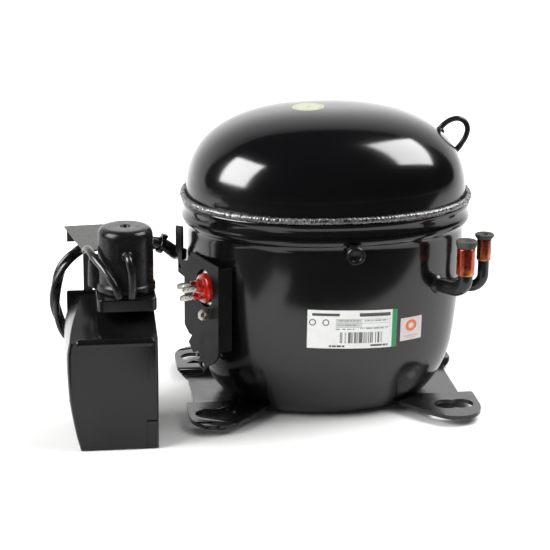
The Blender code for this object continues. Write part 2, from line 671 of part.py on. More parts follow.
def make_motor():
    """Stator with its windings, and the rotor."""
    outline = rounded(-STATOR_HALF, STATOR_HALF, -STATOR_HALF, STATOR_HALF, 12, 4)
    stator = store("stator_core", prism(outline, *STATOR_Z), "lamination")
    combine(stator, "stator_bore", turned([(STATOR_BORE, 30), (STATOR_BORE, 95)], 40), "DIFFERENCE")
    for name, low in (("winding_lower", STATOR_Z[0] - GAP - 16), ("winding_upper", STATOR_Z[1] + GAP)):
        high = low + 16
        profile = [(46, low + 4), (46, high - 4), (42, high), (35, high), (31.5, high - 4), (31.5, low)]
        store(name, turned(profile, 28, ring=True), "enamelled_copper")
    low, high = ROTOR_Z
    bore = SHAFT_RADIUS + GAP
    profile = [(ROTOR_RADIUS, low), (ROTOR_RADIUS, high), (bore, high), (bore, low)]
    store("rotor", turned(profile, 40, ring=True), "lamination")


def make_crank():
    """Crankshaft with its web and counterweight, the oil pick-up below and the gallery plug on the pin."""
    low, high = CRANK_WEB_Z
    shaft = turned([(SHAFT_RADIUS, ROTOR_Z[0] - 2), (SHAFT_RADIUS, low + 2)], 32)
    item = store("crankshaft", shaft, "bright_steel")
    combine(item, "crank_web", turned([(19, low), (19, high)], 32), "UNION")
    weight = []
    for i in range(13):
        angle = math.radians(110 + 140 * i / 12)
        weight.append((27 * math.cos(angle), 27 * math.sin(angle)))
    combine(item, "counterweight", prism(weight + [(-2, -12), (-2, 12)], low, high), "UNION")
    pin = turned([(CRANKPIN_RADIUS, low + 1), (CRANKPIN_RADIUS, CRANKPIN_TOP)], 24, (CRANK_THROW, 0))
    combine(item, "crankpin", pin, "UNION")
    top = ROTOR_Z[0] - 2 - GAP
    profile = [(5.5, top), (5.5, 22), (3.6, 12.5), (2.2, 12.5), (4.3, 22), (4.3, top)]
    store("oil_pickup", turned(profile, 20, ring=True), "bright_steel")
    plug_place = (CRANK_THROW / 2, 0)
    top = CRANKPIN_TOP
    plug = turned([(1.5, top + GAP), (1.5, top + 1.2), (1.1, top + 1.6)], 12, plug_place)
    store("oil_gallery_plug", plug, "bright_steel", (*plug_place, top))


def make_piston():
    """Slider block on the crankpin, and the piston with its yoke in one piece."""
    half_x, half_y = SLIDER_HALF
    low, high = SLIDER_Z
    centre = (CRANK_THROW, 0, CYLINDER_Z)
    block = box((CRANK_THROW - half_x, -half_y, low), (CRANK_THROW + half_x, half_y, high))
    slider = store("slider_block", block, "bright_steel", centre)
    bore = turned([(CRANKPIN_RADIUS + GAP, low - 2), (CRANKPIN_RADIUS + GAP, high + 2)], 24, (CRANK_THROW, 0))
    combine(slider, "slider_bore", bore, "DIFFERENCE")

    slot_x = half_x + GAP
    slot_y = half_y + CRANK_THROW + 0.8
    frame = rounded(CRANK_THROW - slot_x - YOKE_WALL, CRANK_THROW + slot_x + YOKE_WALL, -slot_y - YOKE_WALL,
                    slot_y + YOKE_WALL, 5, 3)
    piston = store("piston_yoke", prism(frame, low, high), "aluminium", centre)
    slot = box((CRANK_THROW - slot_x, -slot_y, low - 1), (CRANK_THROW + slot_x, slot_y, high + 1))
    combine(piston, "yoke_slot", slot, "DIFFERENCE")
    back = PISTON_FACE_X - PISTON_LENGTH
    radius = BORE_RADIUS - GAP
    neck = turned([(6, 22.5), (6, back + 1)], 20, matrix=along_x((0, 0, CYLINDER_Z)))
    combine(piston, "piston_neck", neck, "UNION")
    face = PISTON_FACE_X
    crown = [(radius - 1, back), (radius, back + 1), (radius, face - 5), (radius - 1, face - 5),
             (radius - 1, face - 3.5), (radius, face - 3.5), (radius, face)]
    combine(piston, "piston_crown", turned(crown, 32, matrix=along_x((0, 0, CYLINDER_Z))), "UNION")


def make_pump_block():
    """Crankcase on four legs with the main bearing and the cylinder, then the head stack on its end."""
    low, high = DECK_Z
    deck = rounded(-DECK_HALF, DECK_HALF, -DECK_HALF, DECK_HALF, 8, 3)
    block = store("cylinder_block", prism(deck, low, high), "cast_iron")
    for i, (sx, sy) in enumerate(((1, 1), (-1, 1), (-1, -1), (1, -1))):
        foot = box((sx * 43 - 6, sy * 43 - 6, STATOR_Z[1] + GAP), (sx * 43 + 6, sy * 43 + 6, low + 1))
        combine(block, "block_leg_%d" % (i + 1), foot, "UNION")
    combine(block, "main_bearing", turned([(15, ROTOR_Z[1] + 3), (15, high - 1)], 32), "UNION")
    near, far = CYLINDER_X
    wide = HOUSING_HALF
    housing = prism(rounded(-wide, wide, low, CYLINDER_Z + wide, 9, 3), near, far,
                    Matrix(((0, 0, 1), (1, 0, 0), (0, 1, 0))).to_4x4())
    combine(block, "cylinder_housing", housing, "UNION")
    shaft = turned([(SHAFT_RADIUS + GAP, 80), (SHAFT_RADIUS + GAP, 125)], 32)
    combine(block, "shaft_bore", shaft, "DIFFERENCE")
    bore = turned([(BORE_RADIUS, near - 5), (BORE_RADIUS, far + 5)], 32, matrix=along_x((0, 0, CYLINDER_Z)))
    combine(block, "cylinder_bore", bore, "DIFFERENCE")

    faces = Matrix(((0, 0, 1), (1, 0, 0), (0, 1, 0))).to_4x4()
    stack = rounded(-wide + 1, wide - 1, CYLINDER_Z - wide + 1, CYLINDER_Z + wide - 1, 6, 3)
    x0 = far + GAP
    gasket = store("head_gasket", prism(stack, x0, x0 + 0.7, faces), "gasket")
    radius = BORE_RADIUS + 0.5
    window = turned([(radius, x0 - 3), (radius, x0 + 4)], 32, matrix=along_x((0, 0, CYLINDER_Z)))
    combine(gasket, "gasket_window", window, "DIFFERENCE")
    x1 = x0 + 0.7 + GAP
    plate = store("valve_plate", prism(stack, x1, x1 + 3, faces), "bright_steel")
    for name, y, radius in (("suction_port", -PORT_Y, 3.6), ("discharge_port", PORT_Y, 3.0)):
        port = turned([(radius, x1 - 2), (radius, x1 + 6)], 16, matrix=along_x((0, y, CYLINDER_Z + 4)))
        combine(plate, name, port, "DIFFERENCE")
    leaf = [(-2.6, REED_ROOT), (2.6, REED_ROOT), (2.6, 0), (4.6, 3), (4, 7), (1.5, 9), (-1.5, 9), (-4, 7),
            (-4.6, 3), (-2.6, 0)]
    reeds = (("suction_reed", -PORT_Y, x1 - GAP - REED_THICKNESS), ("discharge_reed", PORT_Y, x1 + 3 + GAP))
    for name, y, depth in reeds:
        outline = [(y + u, CYLINDER_Z + v) for u, v in leaf]
        hinge = (depth + REED_THICKNESS / 2, y, CYLINDER_Z + REED_ROOT)
        store(name, prism(outline, depth, depth + REED_THICKNESS, faces), "bright_steel", hinge)
    x2 = x1 + 3 + GAP
    head = store("cylinder_head", prism(stack, x2, x2 + 14, faces), "cast_iron")
    cavity = prism(rounded(-17, 17, CYLINDER_Z - 19, CYLINDER_Z + 15, 5, 3), x2 - 3, x2 + 10, faces)
    combine(head, "head_cavity", cavity, "DIFFERENCE")

    muffler = rounded(36, 68, -52, -HOUSING_HALF - 2, 9, 4)
    store("suction_muffler", prism(muffler, high + 1, 148), "ivory_plastic")
    can = [(11, high + 1), (12, high + 3), (12, 136), (9, 141), (4, 142)]
    store("discharge_muffler", turned(can, 24, (50, 40)), "grey_steel")


def make_shock_loop():
    """Flexible discharge pipe from the muffler round to the inside of the discharge stub."""
    stub = stub_route(TUBE_STUBS["discharge"])[0]
    route = [(50, 40, 142.9), (50, 40.2, 147), (45, 50, 153.5), (24, 60, 150), (-8, 62, 140), (-20, 61, 128),
             (2, 61.5, 118), (34, 61.5, 112), (62, 52, 104), (80, 32, 97), (86.5, 8, 93),
             (stub.x, stub.y + 9, stub.z)]
    store("discharge_loop", pipe(smooth_route(route, 7), 2.4, 0, 8), "copper")


def make_suspension():
    """Four coil springs between the bowl and the motor."""
    low, high = SPRING_Z
    steps = round(SPRING_TURNS * SPRING_STEPS)
    for i, (sx, sy) in enumerate(((1, 1), (-1, 1), (-1, -1), (1, -1))):
        centre = Vector((sx * SPRING_PLACE[0], sy * SPRING_PLACE[1], 0))
        route = []
        for k in range(steps + 1):
            angle = 2 * math.pi * SPRING_TURNS * k / steps
            rise = low + (high - low) * k / steps
            coil = Vector((math.cos(angle), math.sin(angle), 0)) * SPRING_RADIUS
            route.append(centre + coil + Vector((0, 0, rise)))
        store("suspension_spring_%d" % (i + 1), pipe(route, SPRING_WIRE, 0, 5), "bright_steel")


def make_inner_wiring():
    """Plug block on the inside of the terminal pins and the leads up to the windings."""
    frame = side_frame()
    outline = rounded(TERMINAL_S - 9, TERMINAL_S + 9, TERMINAL_Z - 9, TERMINAL_Z + 9, 3, 2)
    store("cluster_block", prism(outline, 78, 85.7, frame), "ivory_plastic")
    start = frame @ Vector((TERMINAL_S, TERMINAL_Z + 2, 77.4))
    route = [start, start + Vector((5, 2, -1)), (-60, -36, 96.5), (-52, -31, 92.5), (-47.5, -26, 92)]
    cable("motor_leads", route, 1.6, "sleeving", 5.0)


def main():
    clear_scene()
    make_shell()
    make_foot("foot_left", -1)
    make_foot("foot_right", 1)
    make_tubes()
    make_terminal()
    make_electrical_box()
    make_capacitor()
    make_harness()
    make_motor()
    make_crank()
    make_piston()
    make_pump_block()
    make_shock_loop()
    make_suspension()
    make_inner_wiring()


main()
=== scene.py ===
"""Looks of the hermetic compressor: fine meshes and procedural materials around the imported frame.

Lengths are in millimetres and become metres as each mesh is stored. +Z is up, -Y is the front,
-X the terminal side with the electrical box, and +X the tube side.
"""
import math

import bmesh
import bpy
import numpy as np
from mathutils import Matrix, Vector, noise


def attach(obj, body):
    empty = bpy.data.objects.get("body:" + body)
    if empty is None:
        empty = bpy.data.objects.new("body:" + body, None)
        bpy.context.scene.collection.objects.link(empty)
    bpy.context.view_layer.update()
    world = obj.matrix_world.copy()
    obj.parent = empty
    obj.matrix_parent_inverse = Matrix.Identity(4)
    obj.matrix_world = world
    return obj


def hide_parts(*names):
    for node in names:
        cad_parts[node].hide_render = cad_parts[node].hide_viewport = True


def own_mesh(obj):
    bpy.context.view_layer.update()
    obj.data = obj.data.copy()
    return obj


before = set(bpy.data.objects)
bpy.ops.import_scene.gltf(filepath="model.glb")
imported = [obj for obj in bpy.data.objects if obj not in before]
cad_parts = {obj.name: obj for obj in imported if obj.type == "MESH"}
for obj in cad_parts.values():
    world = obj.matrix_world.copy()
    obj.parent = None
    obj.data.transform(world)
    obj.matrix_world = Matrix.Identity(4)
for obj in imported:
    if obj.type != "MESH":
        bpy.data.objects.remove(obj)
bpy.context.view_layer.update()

MM = 0.001
FORWARD = Matrix.Rotation(math.radians(90), 4, "X")          # lays local Z along -Y
FINE = "_fine"                       # ends the name of a piece that stands for the CAD node before it
BAR_END = 0.72                       # share of a bar's radius left at its ends

# Camera, and the studio round the object
CAMERA_TURN = math.radians(7.74)     # towards the terminal side from straight ahead
CAMERA_RISE = math.radians(17.30)
CAMERA_ROLL = math.radians(-0.50)
CAMERA_DISTANCE = 1463.0
CAMERA_TARGET = Vector((-37.7, 0.0, 93.9))
SENSOR = 36.0
LENS = 126.65
FLOOR_REACH = 5000.0                 # the floor's half width
SWEEP_START = 1500.0                 # where the floor begins to curve up behind the object
SWEEP_RADIUS = 1100.0
SWEEP_TOP = 5200.0
LIT_POINT = Vector((0, 0, 150))      # what the lights are aimed at
FLAG_HEIGHT = 0.8
FILL_LIGHT = 0.14
FLAG_CORNERS = [(-132, -270), (2600, -345), (2600, -3200), (-2600, -3200), (-2600, -205), (-226, -205),
                (-226, -385), (-132, -385)]

# Shell: a superellipse in plan and, for the dome, in section
SHELL_POWER = 2.2
SHELL_ASPECT = 0.778
SHELL_SIDES = 192
SHELL_MIDDLE = Vector((0, 130))      # a point inside the shell's half section
WALL = 3.2
DOME_LENGTH = 104.5
DOME_FOOT = 148.6
DOME_SPRING = 157.0                  # height where the skirt ends and the crown begins
DOME_RISE = 67.4
DOME_POWER = 2.52
BOWL_PROFILE = [(0, 0), (28, 0), (50, 0), (56, 0.1), (62, 0.5), (67, 1.4), (72, 3.3), (76.5, 6.4),
                (80.8, 10.5), (88.5, 21.5), (94.5, 35), (99.5, 62), (102.5, 96), (103.5, 125), (103.5, 136)]
FLANGE_PROFILE = [(104.4, 138.2), (106.4, 139.6), (107.8, 141.6), (108.0, 143.8), (107.2, 146.2),
                  (106.9, 148.8), (107.2, 151.2), (108.0, 153.2), (108.0, 155.2), (107.4, 156.0), (104.9, 156.0)]
BEAD_CENTRE = (106.6, 158.1)
BEAD_RADIUS = 2.3
EYE_ROUTE = [(87.3, 9, 200.2), (88.4, 9, 203.2), (90.6, 9, 205.6), (95, 9, 208.6), (101, 9, 210),
             (106.4, 9, 207.6), (109, 9, 202), (107.6, 9, 195.6), (104.4, 9, 190.2), (102.2, 9, 187.2),
             (99.6, 9, 184.6)]
EYE_RADIUS = 2.1

# Stickers: their place on the bowl's front and on the dome
LABEL = {"left": -24.4, "right": 42.3, "bottom": 61.8, "top": 91.5, "drop": 2.9}
SMALL_LABEL = {"left": 45.2, "right": 62.2, "bottom": 62.4, "top": 80.4, "drop": 0.0}
STICKER = (-14.7, -4.0, 224.3)
STICKER_RADIUS = 12.0

# Feet
PLATE_THICKNESS = 3.0
PAD_RAISE = 5.5
STRIP_X = 101.5
STRIP_Y = 34.0
PAD_X = 109.0
PAD_Y = 88.5
FOOT_EDGE = [(STRIP_X, STRIP_Y), (PAD_X, STRIP_Y + 3.5), (PAD_X, 66), (107.5, 75), (103, 82.5), (96, 87.3),
             (88, PAD_Y), (79, 86), (66, 74), (54, 58), (47, 50)]
STEP_FROM = -0.6                     # where the step beside a strip begins, and its run
STEP_RUN = 5.0
RAMP_SLOPE = (0.565, 0.825)          # direction in plan in which a pad's inner ramp rises
RAMP_FROM = 50.0
RAMP_RUN = 17.0
BOWL_SEAT = [(72.0, -5), (72.0, 2.9), (76.6, 6.0), (81.0, 10.2), (88.7, 21.0)]
SLOT_CENTRE = (89.5, 62.5)
SLOT_SPACING = 11.0
SLOT_RADIUS = 9.2

# Terminal side: a plane square to SIDE_NORMAL, measured s towards the front and z up
SIDE_TURN = math.radians(20)
SIDE_NORMAL = Vector((-math.cos(SIDE_TURN), -math.sin(SIDE_TURN), 0))
SIDE_ALONG = Vector((math.sin(SIDE_TURN), -math.cos(SIDE_TURN), 0))
SIDE_FRAME = Matrix((SIDE_ALONG, (0, 0, 1), SIDE_NORMAL)).transposed().to_4x4()     # from (s, z, depth)
TERMINAL = (8.0, 99.0)
PIN_CIRCLE = 5.2
PIN_ANGLES = (150, 30, 270)
PIN_SECTIONS = [(1.15, 1.15, 86, 2), (1.2, 1.2, 86.4, 2), (1.2, 1.2, 112.8, 2), (0.95, 1.6, 113.8, 3),
                (0.6, 2.35, 115.0, 6), (0.6, 2.4, 122.3, 8), (0.6, 2.0, 123.6, 8), (0.45, 1.3, 124.5, 8)]
PIN_HOLE = 119.6                     # depth of the hole through a blade

# Tube stubs
TUBE_STUBS = {
    "suction": {"at": -45, "reach": 25.0, "z": 101.5, "top": 134.4, "radius": 5.5, "bore": 4.5, "bend": 10.0,
                "sleeve": 20.0, "cap": 5.3, "lip": 1.1},
    "discharge": {"at": -23, "reach": 19.0, "z": 92.5, "top": 130.4, "radius": 4.2, "bore": 3.3, "bend": 11.0,
                  "sleeve": 16.0, "cap": 3.6, "lip": 1.7},
}
STUB_FOOT = 103.1                    # half length of the shell's plan where the stubs leave
SLEEVE_WALL = 0.9
BRAZE_Z = 114.9                      # height of the copper ends' brazed edge
HALF_SHEET = 0.25                    # half a stator sheet
GAP = 0.3
CAP_STEM = 8.0
PROCESS = (8.0, 134.2)
PROCESS_END = 88.0                   # how far the process tube stands out from the shaft axis

# Electrical box
BOX_X = (-198.0, -134.0)
BOX_FRONT = -105.0
BOX_BACK = -38.0
BOX_TOP_FRONT = 81.0
BOX_TOP_BACK = 96.0
BOX_SLOPE_END = -47.0
BOX_WALL = 2.2
BOX_BULGE = [(12, 96), (4, 86), (0.6, 76), (0, 66), (0.2, 54), (1.2, 38), (3.2, 24), (5.8, 10), (8.4, 0)]
BOX_ROUND = [(0, BOX_FRONT - BOX_BACK), (0, -3.0), (0.3, -1.9), (0.9, -1.0), (1.68, -0.4), (2.64, -0.08),
             (3.84, 0.0)]
# Slit, notch, seam and side slot, then bar and two clips, from the front corner of the box's right side
BOX_CUTS = [((-7.4, -1, 55), (-6.6, 0.9, 73)), ((-9, -1, 21), (-1.2, 1.3, 24)), ((-9, -1, 3), (-8.2, 0.8, 22)),
            ((-1, 6, 50), (1, 12, 66))]
BOX_CLIPS = [((-10.4, -0.35, 53), (-7.9, 1, 74)), ((-1, 25, 60), (0.6, 41, 72)), ((-1, 25, 16), (0.6, 41, 28))]
BOOT_CENTRE = (-153.5, -59.0)
BOOT_RADIUS = 20.0
BOOT_Z = (105.9, 152.5)

HARNESS_RADIUS = 4.2
HARNESS_ROUTE = [(-176, -34.5, 48), (-177.5, -27, 47), (-188, -15, 49), (-198.5, -11, 62), (-203.5, -12, 82),
                 (-200.5, -11, 102), (-191, -8, 116), (-176, 0, 121.6), (-155, 8, 121.8), (-135, 9, 120.6),
                 (-123, 10.5, 117.5), (-115.5, 12.5, 112.5), (-110.8, 18.5, 108), (-108, 27, 105)]
STRAND_OFFSET = 0.42                 # strand centres from the bundle's, as a share of its radius
STRAND_PITCH = 84.0                  # length of one twist
TIE_AT = 10                          # route point that the cable tie holds
SLEEVE_SWELL = 0.24                  # how much thicker the bundle is where it nears the connector
LEAD_RADIUS = 2.7
LEAD_ROUTES = {
    "capacitor_lead_1": [(-153.8, -76, 134.5), (-153.3, -80.4, 135.7), (-152.4, -84.6, 133.7),
                         (-150.7, -86.5, 124), (-150.4, -86.2, 114), (-151, -85.2, 106.2)],
    "capacitor_lead_2": [(-182, -42.5, 130.2), (-180, -52, 134), (-176.8, -66, 132.5), (-169.5, -78, 125.5),
                         (-162.5, -85, 115.5), (-159.6, -85.2, 106.2)],
}


# ---------------------------------------------------------------- materials

looks = {}                           # every material by name


class Look:
    """A Principled material whose colour, roughness and bump are built from procedural layers."""

    def __init__(self, name, colour, roughness, metallic=0.0, **constants):
        self.material = looks[name] = bpy.data.materials.new(name)
        self.material.use_nodes = True
        self.tree = self.material.node_tree
        self.shader = self.tree.nodes["Principled BSDF"]
        self.shader.inputs["Base Color"].default_value = (*colour, 1)
        self.shader.inputs["Roughness"].default_value = roughness
        self.shader.inputs["Metallic"].default_value = metallic
        for key, value in constants.items():
            self.shader.inputs[key.replace("_", " ")].default_value = value
        self.material.diffuse_color = (*colour, 1)
        self.place = self.add("TexCoord").outputs["Object"]

    def add(self, kind, inputs=(), **settings):
        """A node with its settings, and each named input set or linked."""
        node = self.tree.nodes.new("ShaderNode" + kind)
        for key, value in settings.items():
            setattr(node, key, value)
        for key, value in dict(inputs).items():
            self.feed(node.inputs[key], value)
        return node

    def feed(self, socket, value):
        """Set a socket, or link another one to it."""
        if isinstance(value, bpy.types.NodeSocket):
            self.tree.links.new(value, socket)
        else:
            socket.default_value = value

    def stretched(self, x, y, z):
        """The object's coordinates, scaled along each axis."""
        return self.add("Mapping", {"Vector": self.place, "Scale": (x, y, z)}).outputs["Vector"]

    def axes(self):
        """The object's coordinates one by one."""
        return self.add("SeparateXYZ", {"Vector": self.place}).outputs

    def noise(self, size, detail=3.0, rough=0.5, where=None):
        """Cloudy noise from 0 to 1 with features of about one size, in millimetres."""
        inputs = {"Vector": where or self.place, "Scale": 1 / (size * MM), "Detail": detail, "Roughness": rough}
        return self.add("TexNoise", inputs).outputs["Fac"]

    def cells(self, size):
        """Distance from scattered points, from 0 at each point."""
        inputs = {"Vector": self.place, "Scale": 1 / (size * MM)}
        return self.add("TexVoronoi", inputs).outputs["Distance"]

    def spread(self, value, low, high, to_low=0.0, to_high=1.0):
        """A value from one range mapped onto another, clamped."""
        inputs = {"Value": value, "From Min": low, "From Max": high, "To Min": to_low, "To Max": to_high}
        return self.add("MapRange", inputs).outputs["Result"]

    def sum(self, operation, first, second=0.0):
        """A Math node."""
        node = self.add("Math", operation=operation)
        self.feed(node.inputs[0], first)
        self.feed(node.inputs[1], second)
        return node.outputs[0]

    def band(self, value, low, high):
        """1 between two values and 0 elsewhere."""
        return self.sum("MULTIPLY", self.sum("GREATER_THAN", value, low), self.sum("LESS_THAN", value, high))

    def tint(self, factor, first, second):
        """A mix of two colours."""
        node = self.add("Mix", data_type="RGBA")
        self.feed(node.inputs["Factor"], factor)
        for socket, colour in ((node.inputs[6], first), (node.inputs[7], second)):
            self.feed(socket, colour if isinstance(colour, bpy.types.NodeSocket) else (*colour, 1))
        return node.outputs[2]

    def colour(self, source):
        self.feed(self.shader.inputs["Base Color"], source)

    def rough(self, source):
        self.feed(self.shader.inputs["Roughness"], source)

    def bump(self, height, depth):
        """Raise the surface by a height from 0 to 1, with a depth in millimetres, on top of earlier bumps."""
        target = self.shader.inputs["Normal"]
        inputs = {"Height": height, "Distance": depth * MM}
        if target.is_linked:
            inputs["Normal"] = target.links[0].from_socket
        self.feed(target, self.add("Bump", inputs).outputs["Normal"])


def surface(name, base, roughness, clouds, dark, light, grain, smooth, dull, bumps, edges=(0.3, 0.7),
            metallic=0.0, **constants):
    """Clouds between two colours, a roughness that varies over a grain, and bumps of (noise, depth)."""
    look = Look(name, base, roughness, metallic, **constants)
    look.colour(look.tint(look.spread(look.noise(*clouds), *edges), dark, light))
    look.rough(look.spread(look.noise(*grain), 0.3, 0.7, smooth, dull))
    for shape, depth in bumps:
        look.bump(look.noise(*shape), depth)


def shell_black():
    """Gloss black enamel: slow waves and a fine orange peel, with a few specks of dust."""
    look = Look("shell_black", (0.004, 0.004, 0.0045), 0.1, IOR=1.5)
    dust = look.spread(look.cells(9), 0.0, 0.028, 1.0, 0.0)
    look.colour(look.tint(dust, (0.004, 0.004, 0.0045), (0.06, 0.058, 0.055)))
    look.rough(look.spread(look.noise(45, 3), 0.3, 0.7, 0.11, 0.17))
    look.bump(look.noise(38, 2), 0.05)
    look.bump(look.noise(1.3, 2), 0.0022)


def plate_black():
    """Semi-gloss black paint on pressed steel, a little dusty in lighter cloudy patches."""
    look = Look("plate_black", (0.008, 0.008, 0.0085), 0.22, IOR=1.42)
    clouds = look.noise(16, 4)
    scuff = look.spread(look.noise(2.2, 5, 0.7), 0.64, 0.76)
    look.colour(look.tint(look.spread(clouds, 0.35, 0.75), (0.006, 0.006, 0.0065), (0.02, 0.0195, 0.019)))
    look.rough(look.sum("ADD", look.spread(clouds, 0.3, 0.7, 0.14, 0.26), look.sum("MULTIPLY", scuff, 0.18)))
    look.bump(look.noise(7, 2), 0.04)
    look.bump(look.noise(0.9, 2), 0.006)


def bare_metal(name, dark, light, smooth, dull, grain, depth, metallic=1.0, brushed=None):
    """Bare metal: patchy colour and roughness, with a grain that may run along one axis."""
    look = Look(name, light, dull, metallic)
    fine = look.noise(grain, 4, 0.6, look.stretched(*brushed) if brushed else None)
    look.colour(look.tint(look.spread(look.noise(9, 3), 0.3, 0.7), dark, light))
    look.rough(look.spread(fine, 0.3, 0.7, smooth, dull))
    look.bump(fine, depth)


def copper(name, dark, light):
    """Lacquered copper drawn along Z: dark and light streaks, and a straw tint at the brazed end."""
    look = Look(name, light, 0.26, 0.85, Coat_Weight=0.5, Coat_Roughness=0.1)
    streaks = look.noise(1.5, 4, 0.65, look.stretched(1, 1, 0.1))
    patches = look.noise(5, 3)
    drawn = look.tint(look.spread(streaks, 0.34, 0.66), dark, light)
    height = look.axes()["Z"]
    warm = look.spread(height, BRAZE_Z * MM, (BRAZE_Z + 6) * MM, 0.8, 0.0)
    warm = look.sum("MULTIPLY", warm, look.spread(patches, 0.35, 0.6))
    look.colour(look.tint(warm, drawn, (0.8, 0.3, 0.07)))
    look.rough(look.spread(patches, 0.3, 0.7, 0.18, 0.36))
    look.bump(streaks, 0.03)


def lamination():
    """Stacked electrical steel: thin sheets one on another."""
    look = Look("lamination", (0.2, 0.2, 0.21), 0.42, 0.85)
    height = look.axes()["Z"]
    edge = look.spread(look.sum("PINGPONG", height, HALF_SHEET * MM), 0.0, HALF_SHEET * MM)
    look.colour(look.tint(edge, (0.07, 0.07, 0.08), (0.24, 0.24, 0.25)))
    look.rough(look.spread(look.noise(6, 3), 0.3, 0.7, 0.34, 0.5))
    look.bump(edge, 0.12)


def winding():
    """Enamelled copper wire laid round the stator, one turn beside another."""
    look = Look("winding", (0.45, 0.14, 0.05), 0.3, 0.7, Coat_Weight=0.4, Coat_Roughness=0.15)
    rings = look.add("TexWave", {"Vector": look.place, "Scale": 420.0, "Distortion": 1.4, "Detail": 2.0},
                     wave_type="RINGS", rings_direction="Z").outputs["Fac"]
    look.colour(look.tint(rings, (0.16, 0.035, 0.012), (0.62, 0.2, 0.07)))
    look.rough(look.spread(look.noise(3, 3), 0.3, 0.7, 0.24, 0.4))
    look.bump(rings, 0.35)


def plain_moulding(name, first, second, smooth, dull, grain, depth):
    """A moulded or pressed non-metal with soft clouds of colour and a grain."""
    surface(name, first, dull, (8, 3), first, second, (2.5, 3), smooth, dull, [((grain, 3), depth)])


class Print(Look):
    """Label stock whose printing is placed on a flat patch, u across and v up, each from 0 to 1."""

    def __init__(self, name, paper, patch):
        super().__init__(name, paper, 0.34)
        axes = self.axes()
        self.u = self.spread(axes["X"], patch["left"] * MM, patch["right"] * MM)
        level = self.sum("ADD", axes["Z"], self.sum("MULTIPLY", self.u, patch["drop"] * MM))
        self.v = self.spread(level, patch["bottom"] * MM, patch["top"] * MM)
        self.ink = self.tint(self.spread(self.noise(4, 3), 0.3, 0.7), paper, tuple(0.94 * c for c in paper))
        self.rough(self.spread(self.noise(3, 3), 0.3, 0.7, 0.26, 0.42))

    def area(self, u0, u1, v0, v1):
        return self.sum("MULTIPLY", self.band(self.u, u0, u1), self.band(self.v, v0, v1))

    def bars(self, mask, pitch, share, seed):
        """Keep a share of the thin upright bars that make up an area."""
        step = self.sum("FLOOR", self.sum("ADD", self.sum("MULTIPLY", self.u, pitch), seed))
        chance = self.add("TexWhiteNoise", {"W": step}, noise_dimensions="1D").outputs["Value"]
        return self.sum("MULTIPLY", mask, self.sum("LESS_THAN", chance, share))

    def frame(self, u0, u1, v0, v1, rule_u, rule_v):
        """An empty box drawn with a thin rule."""
        inner = self.area(u0 + rule_u, u1 - rule_u, v0 + rule_v, v1 - rule_v)
        return self.sum("SUBTRACT", self.area(u0, u1, v0, v1), inner)

    def draw(self, mask, colour):
        self.ink = self.tint(mask, self.ink, colour)
        self.colour(self.ink)

    def disc(self, u, v, radius, ratio):
        """A round spot; ratio is the patch's width over its height."""
        du = self.sum("MULTIPLY", self.sum("SUBTRACT", self.u, u), ratio)
        dv = self.sum("SUBTRACT", self.v, v)
        reach = self.sum("ADD", self.sum("MULTIPLY", du, du), self.sum("MULTIPLY", dv, dv))
        return self.sum("LESS_THAN", reach, radius * radius)


def rating_label():
    """White label stock with plain bars, rules and a coloured end strip; nothing on it can be read."""
    look = Print("rating_label", (0.86, 0.865, 0.85), LABEL)
    dark = (0.055, 0.06, 0.06)
    grey = (0.42, 0.43, 0.42)
    faint = (0.3, 0.31, 0.3)
    look.draw(look.area(0.05, 0.35, 0.85, 0.92), dark)
    look.draw(look.area(0.57, 0.92, 0.84, 0.93), dark)
    for u in (0.055, 0.2):
        ring = look.sum("SUBTRACT", look.disc(u, 0.68, 0.085, 2.24), look.disc(u, 0.68, 0.06, 2.24))
        look.draw(ring, dark)
    look.draw(look.area(0.31, 0.6, 0.55, 0.78), (0.62, 0.63, 0.61))
    look.draw(look.frame(0.31, 0.92, 0.55, 0.78, 0.004, 0.012), grey)
    look.draw(look.area(0.31, 0.92, 0.66, 0.67), grey)
    rows = ((0.33, 0.58, 0.715), (0.62, 0.9, 0.715), (0.33, 0.55, 0.6), (0.31, 0.52, 0.49), (0.58, 0.9, 0.51))
    for row, (u0, u1, level) in enumerate(rows):
        look.draw(look.bars(look.area(u0, u1, level, level + 0.035), 110, 0.72, row * 37), faint)
    look.draw(look.bars(look.area(0.34, 0.83, 0.14, 0.43), 190, 0.5, 11), (0.12, 0.125, 0.12))
    look.draw(look.bars(look.area(0.24, 0.41, 0.035, 0.085), 120, 0.8, 5), dark)
    look.draw(look.bars(look.area(0.7, 0.9, 0.05, 0.1), 120, 0.8, 8), dark)
    look.draw(look.area(0.943, 1.1, -0.1, 1.1), (0.01, 0.26, 0.1))


def small_label():
    """Pale pink sticker with a plain orange disc over two thin rules."""
    paper = (0.74, 0.67, 0.66)
    look = Print("small_label", paper, SMALL_LABEL)
    look.draw(look.disc(0.5, 0.64, 0.25, 0.95), (0.8, 0.16, 0.05))
    look.draw(look.disc(0.5, 0.64, 0.12, 0.95), paper)
    for rule in ((0.16, 0.84, 0.17, 0.21), (0.3, 0.7, 0.09, 0.12)):
        look.draw(look.area(*rule), (0.5, 0.36, 0.36))


def dome_sticker():
    """Pale yellow-green check sticker with a thin ring and a centre dot."""
    look = Look("dome_sticker", (0.66, 0.7, 0.42), 0.42)
    centre = Vector(STICKER) * MM
    reach = look.add("VectorMath", {0: look.place, 1: centre}, operation="DISTANCE").outputs["Value"]
    ring = look.band(reach, 9.4 * MM, 9.9 * MM)
    dot = look.sum("LESS_THAN", reach, 1.3 * MM)
    paper = look.tint(look.spread(look.noise(3, 3), 0.3, 0.7), (0.33, 0.345, 0.235), (0.39, 0.4, 0.29))
    look.colour(look.tint(look.sum("MAXIMUM", ring, dot), paper, (0.17, 0.185, 0.11)))
    look.bump(look.noise(1.2, 2), 0.01)


# ---------------------------------------------------------------- mesh helpers

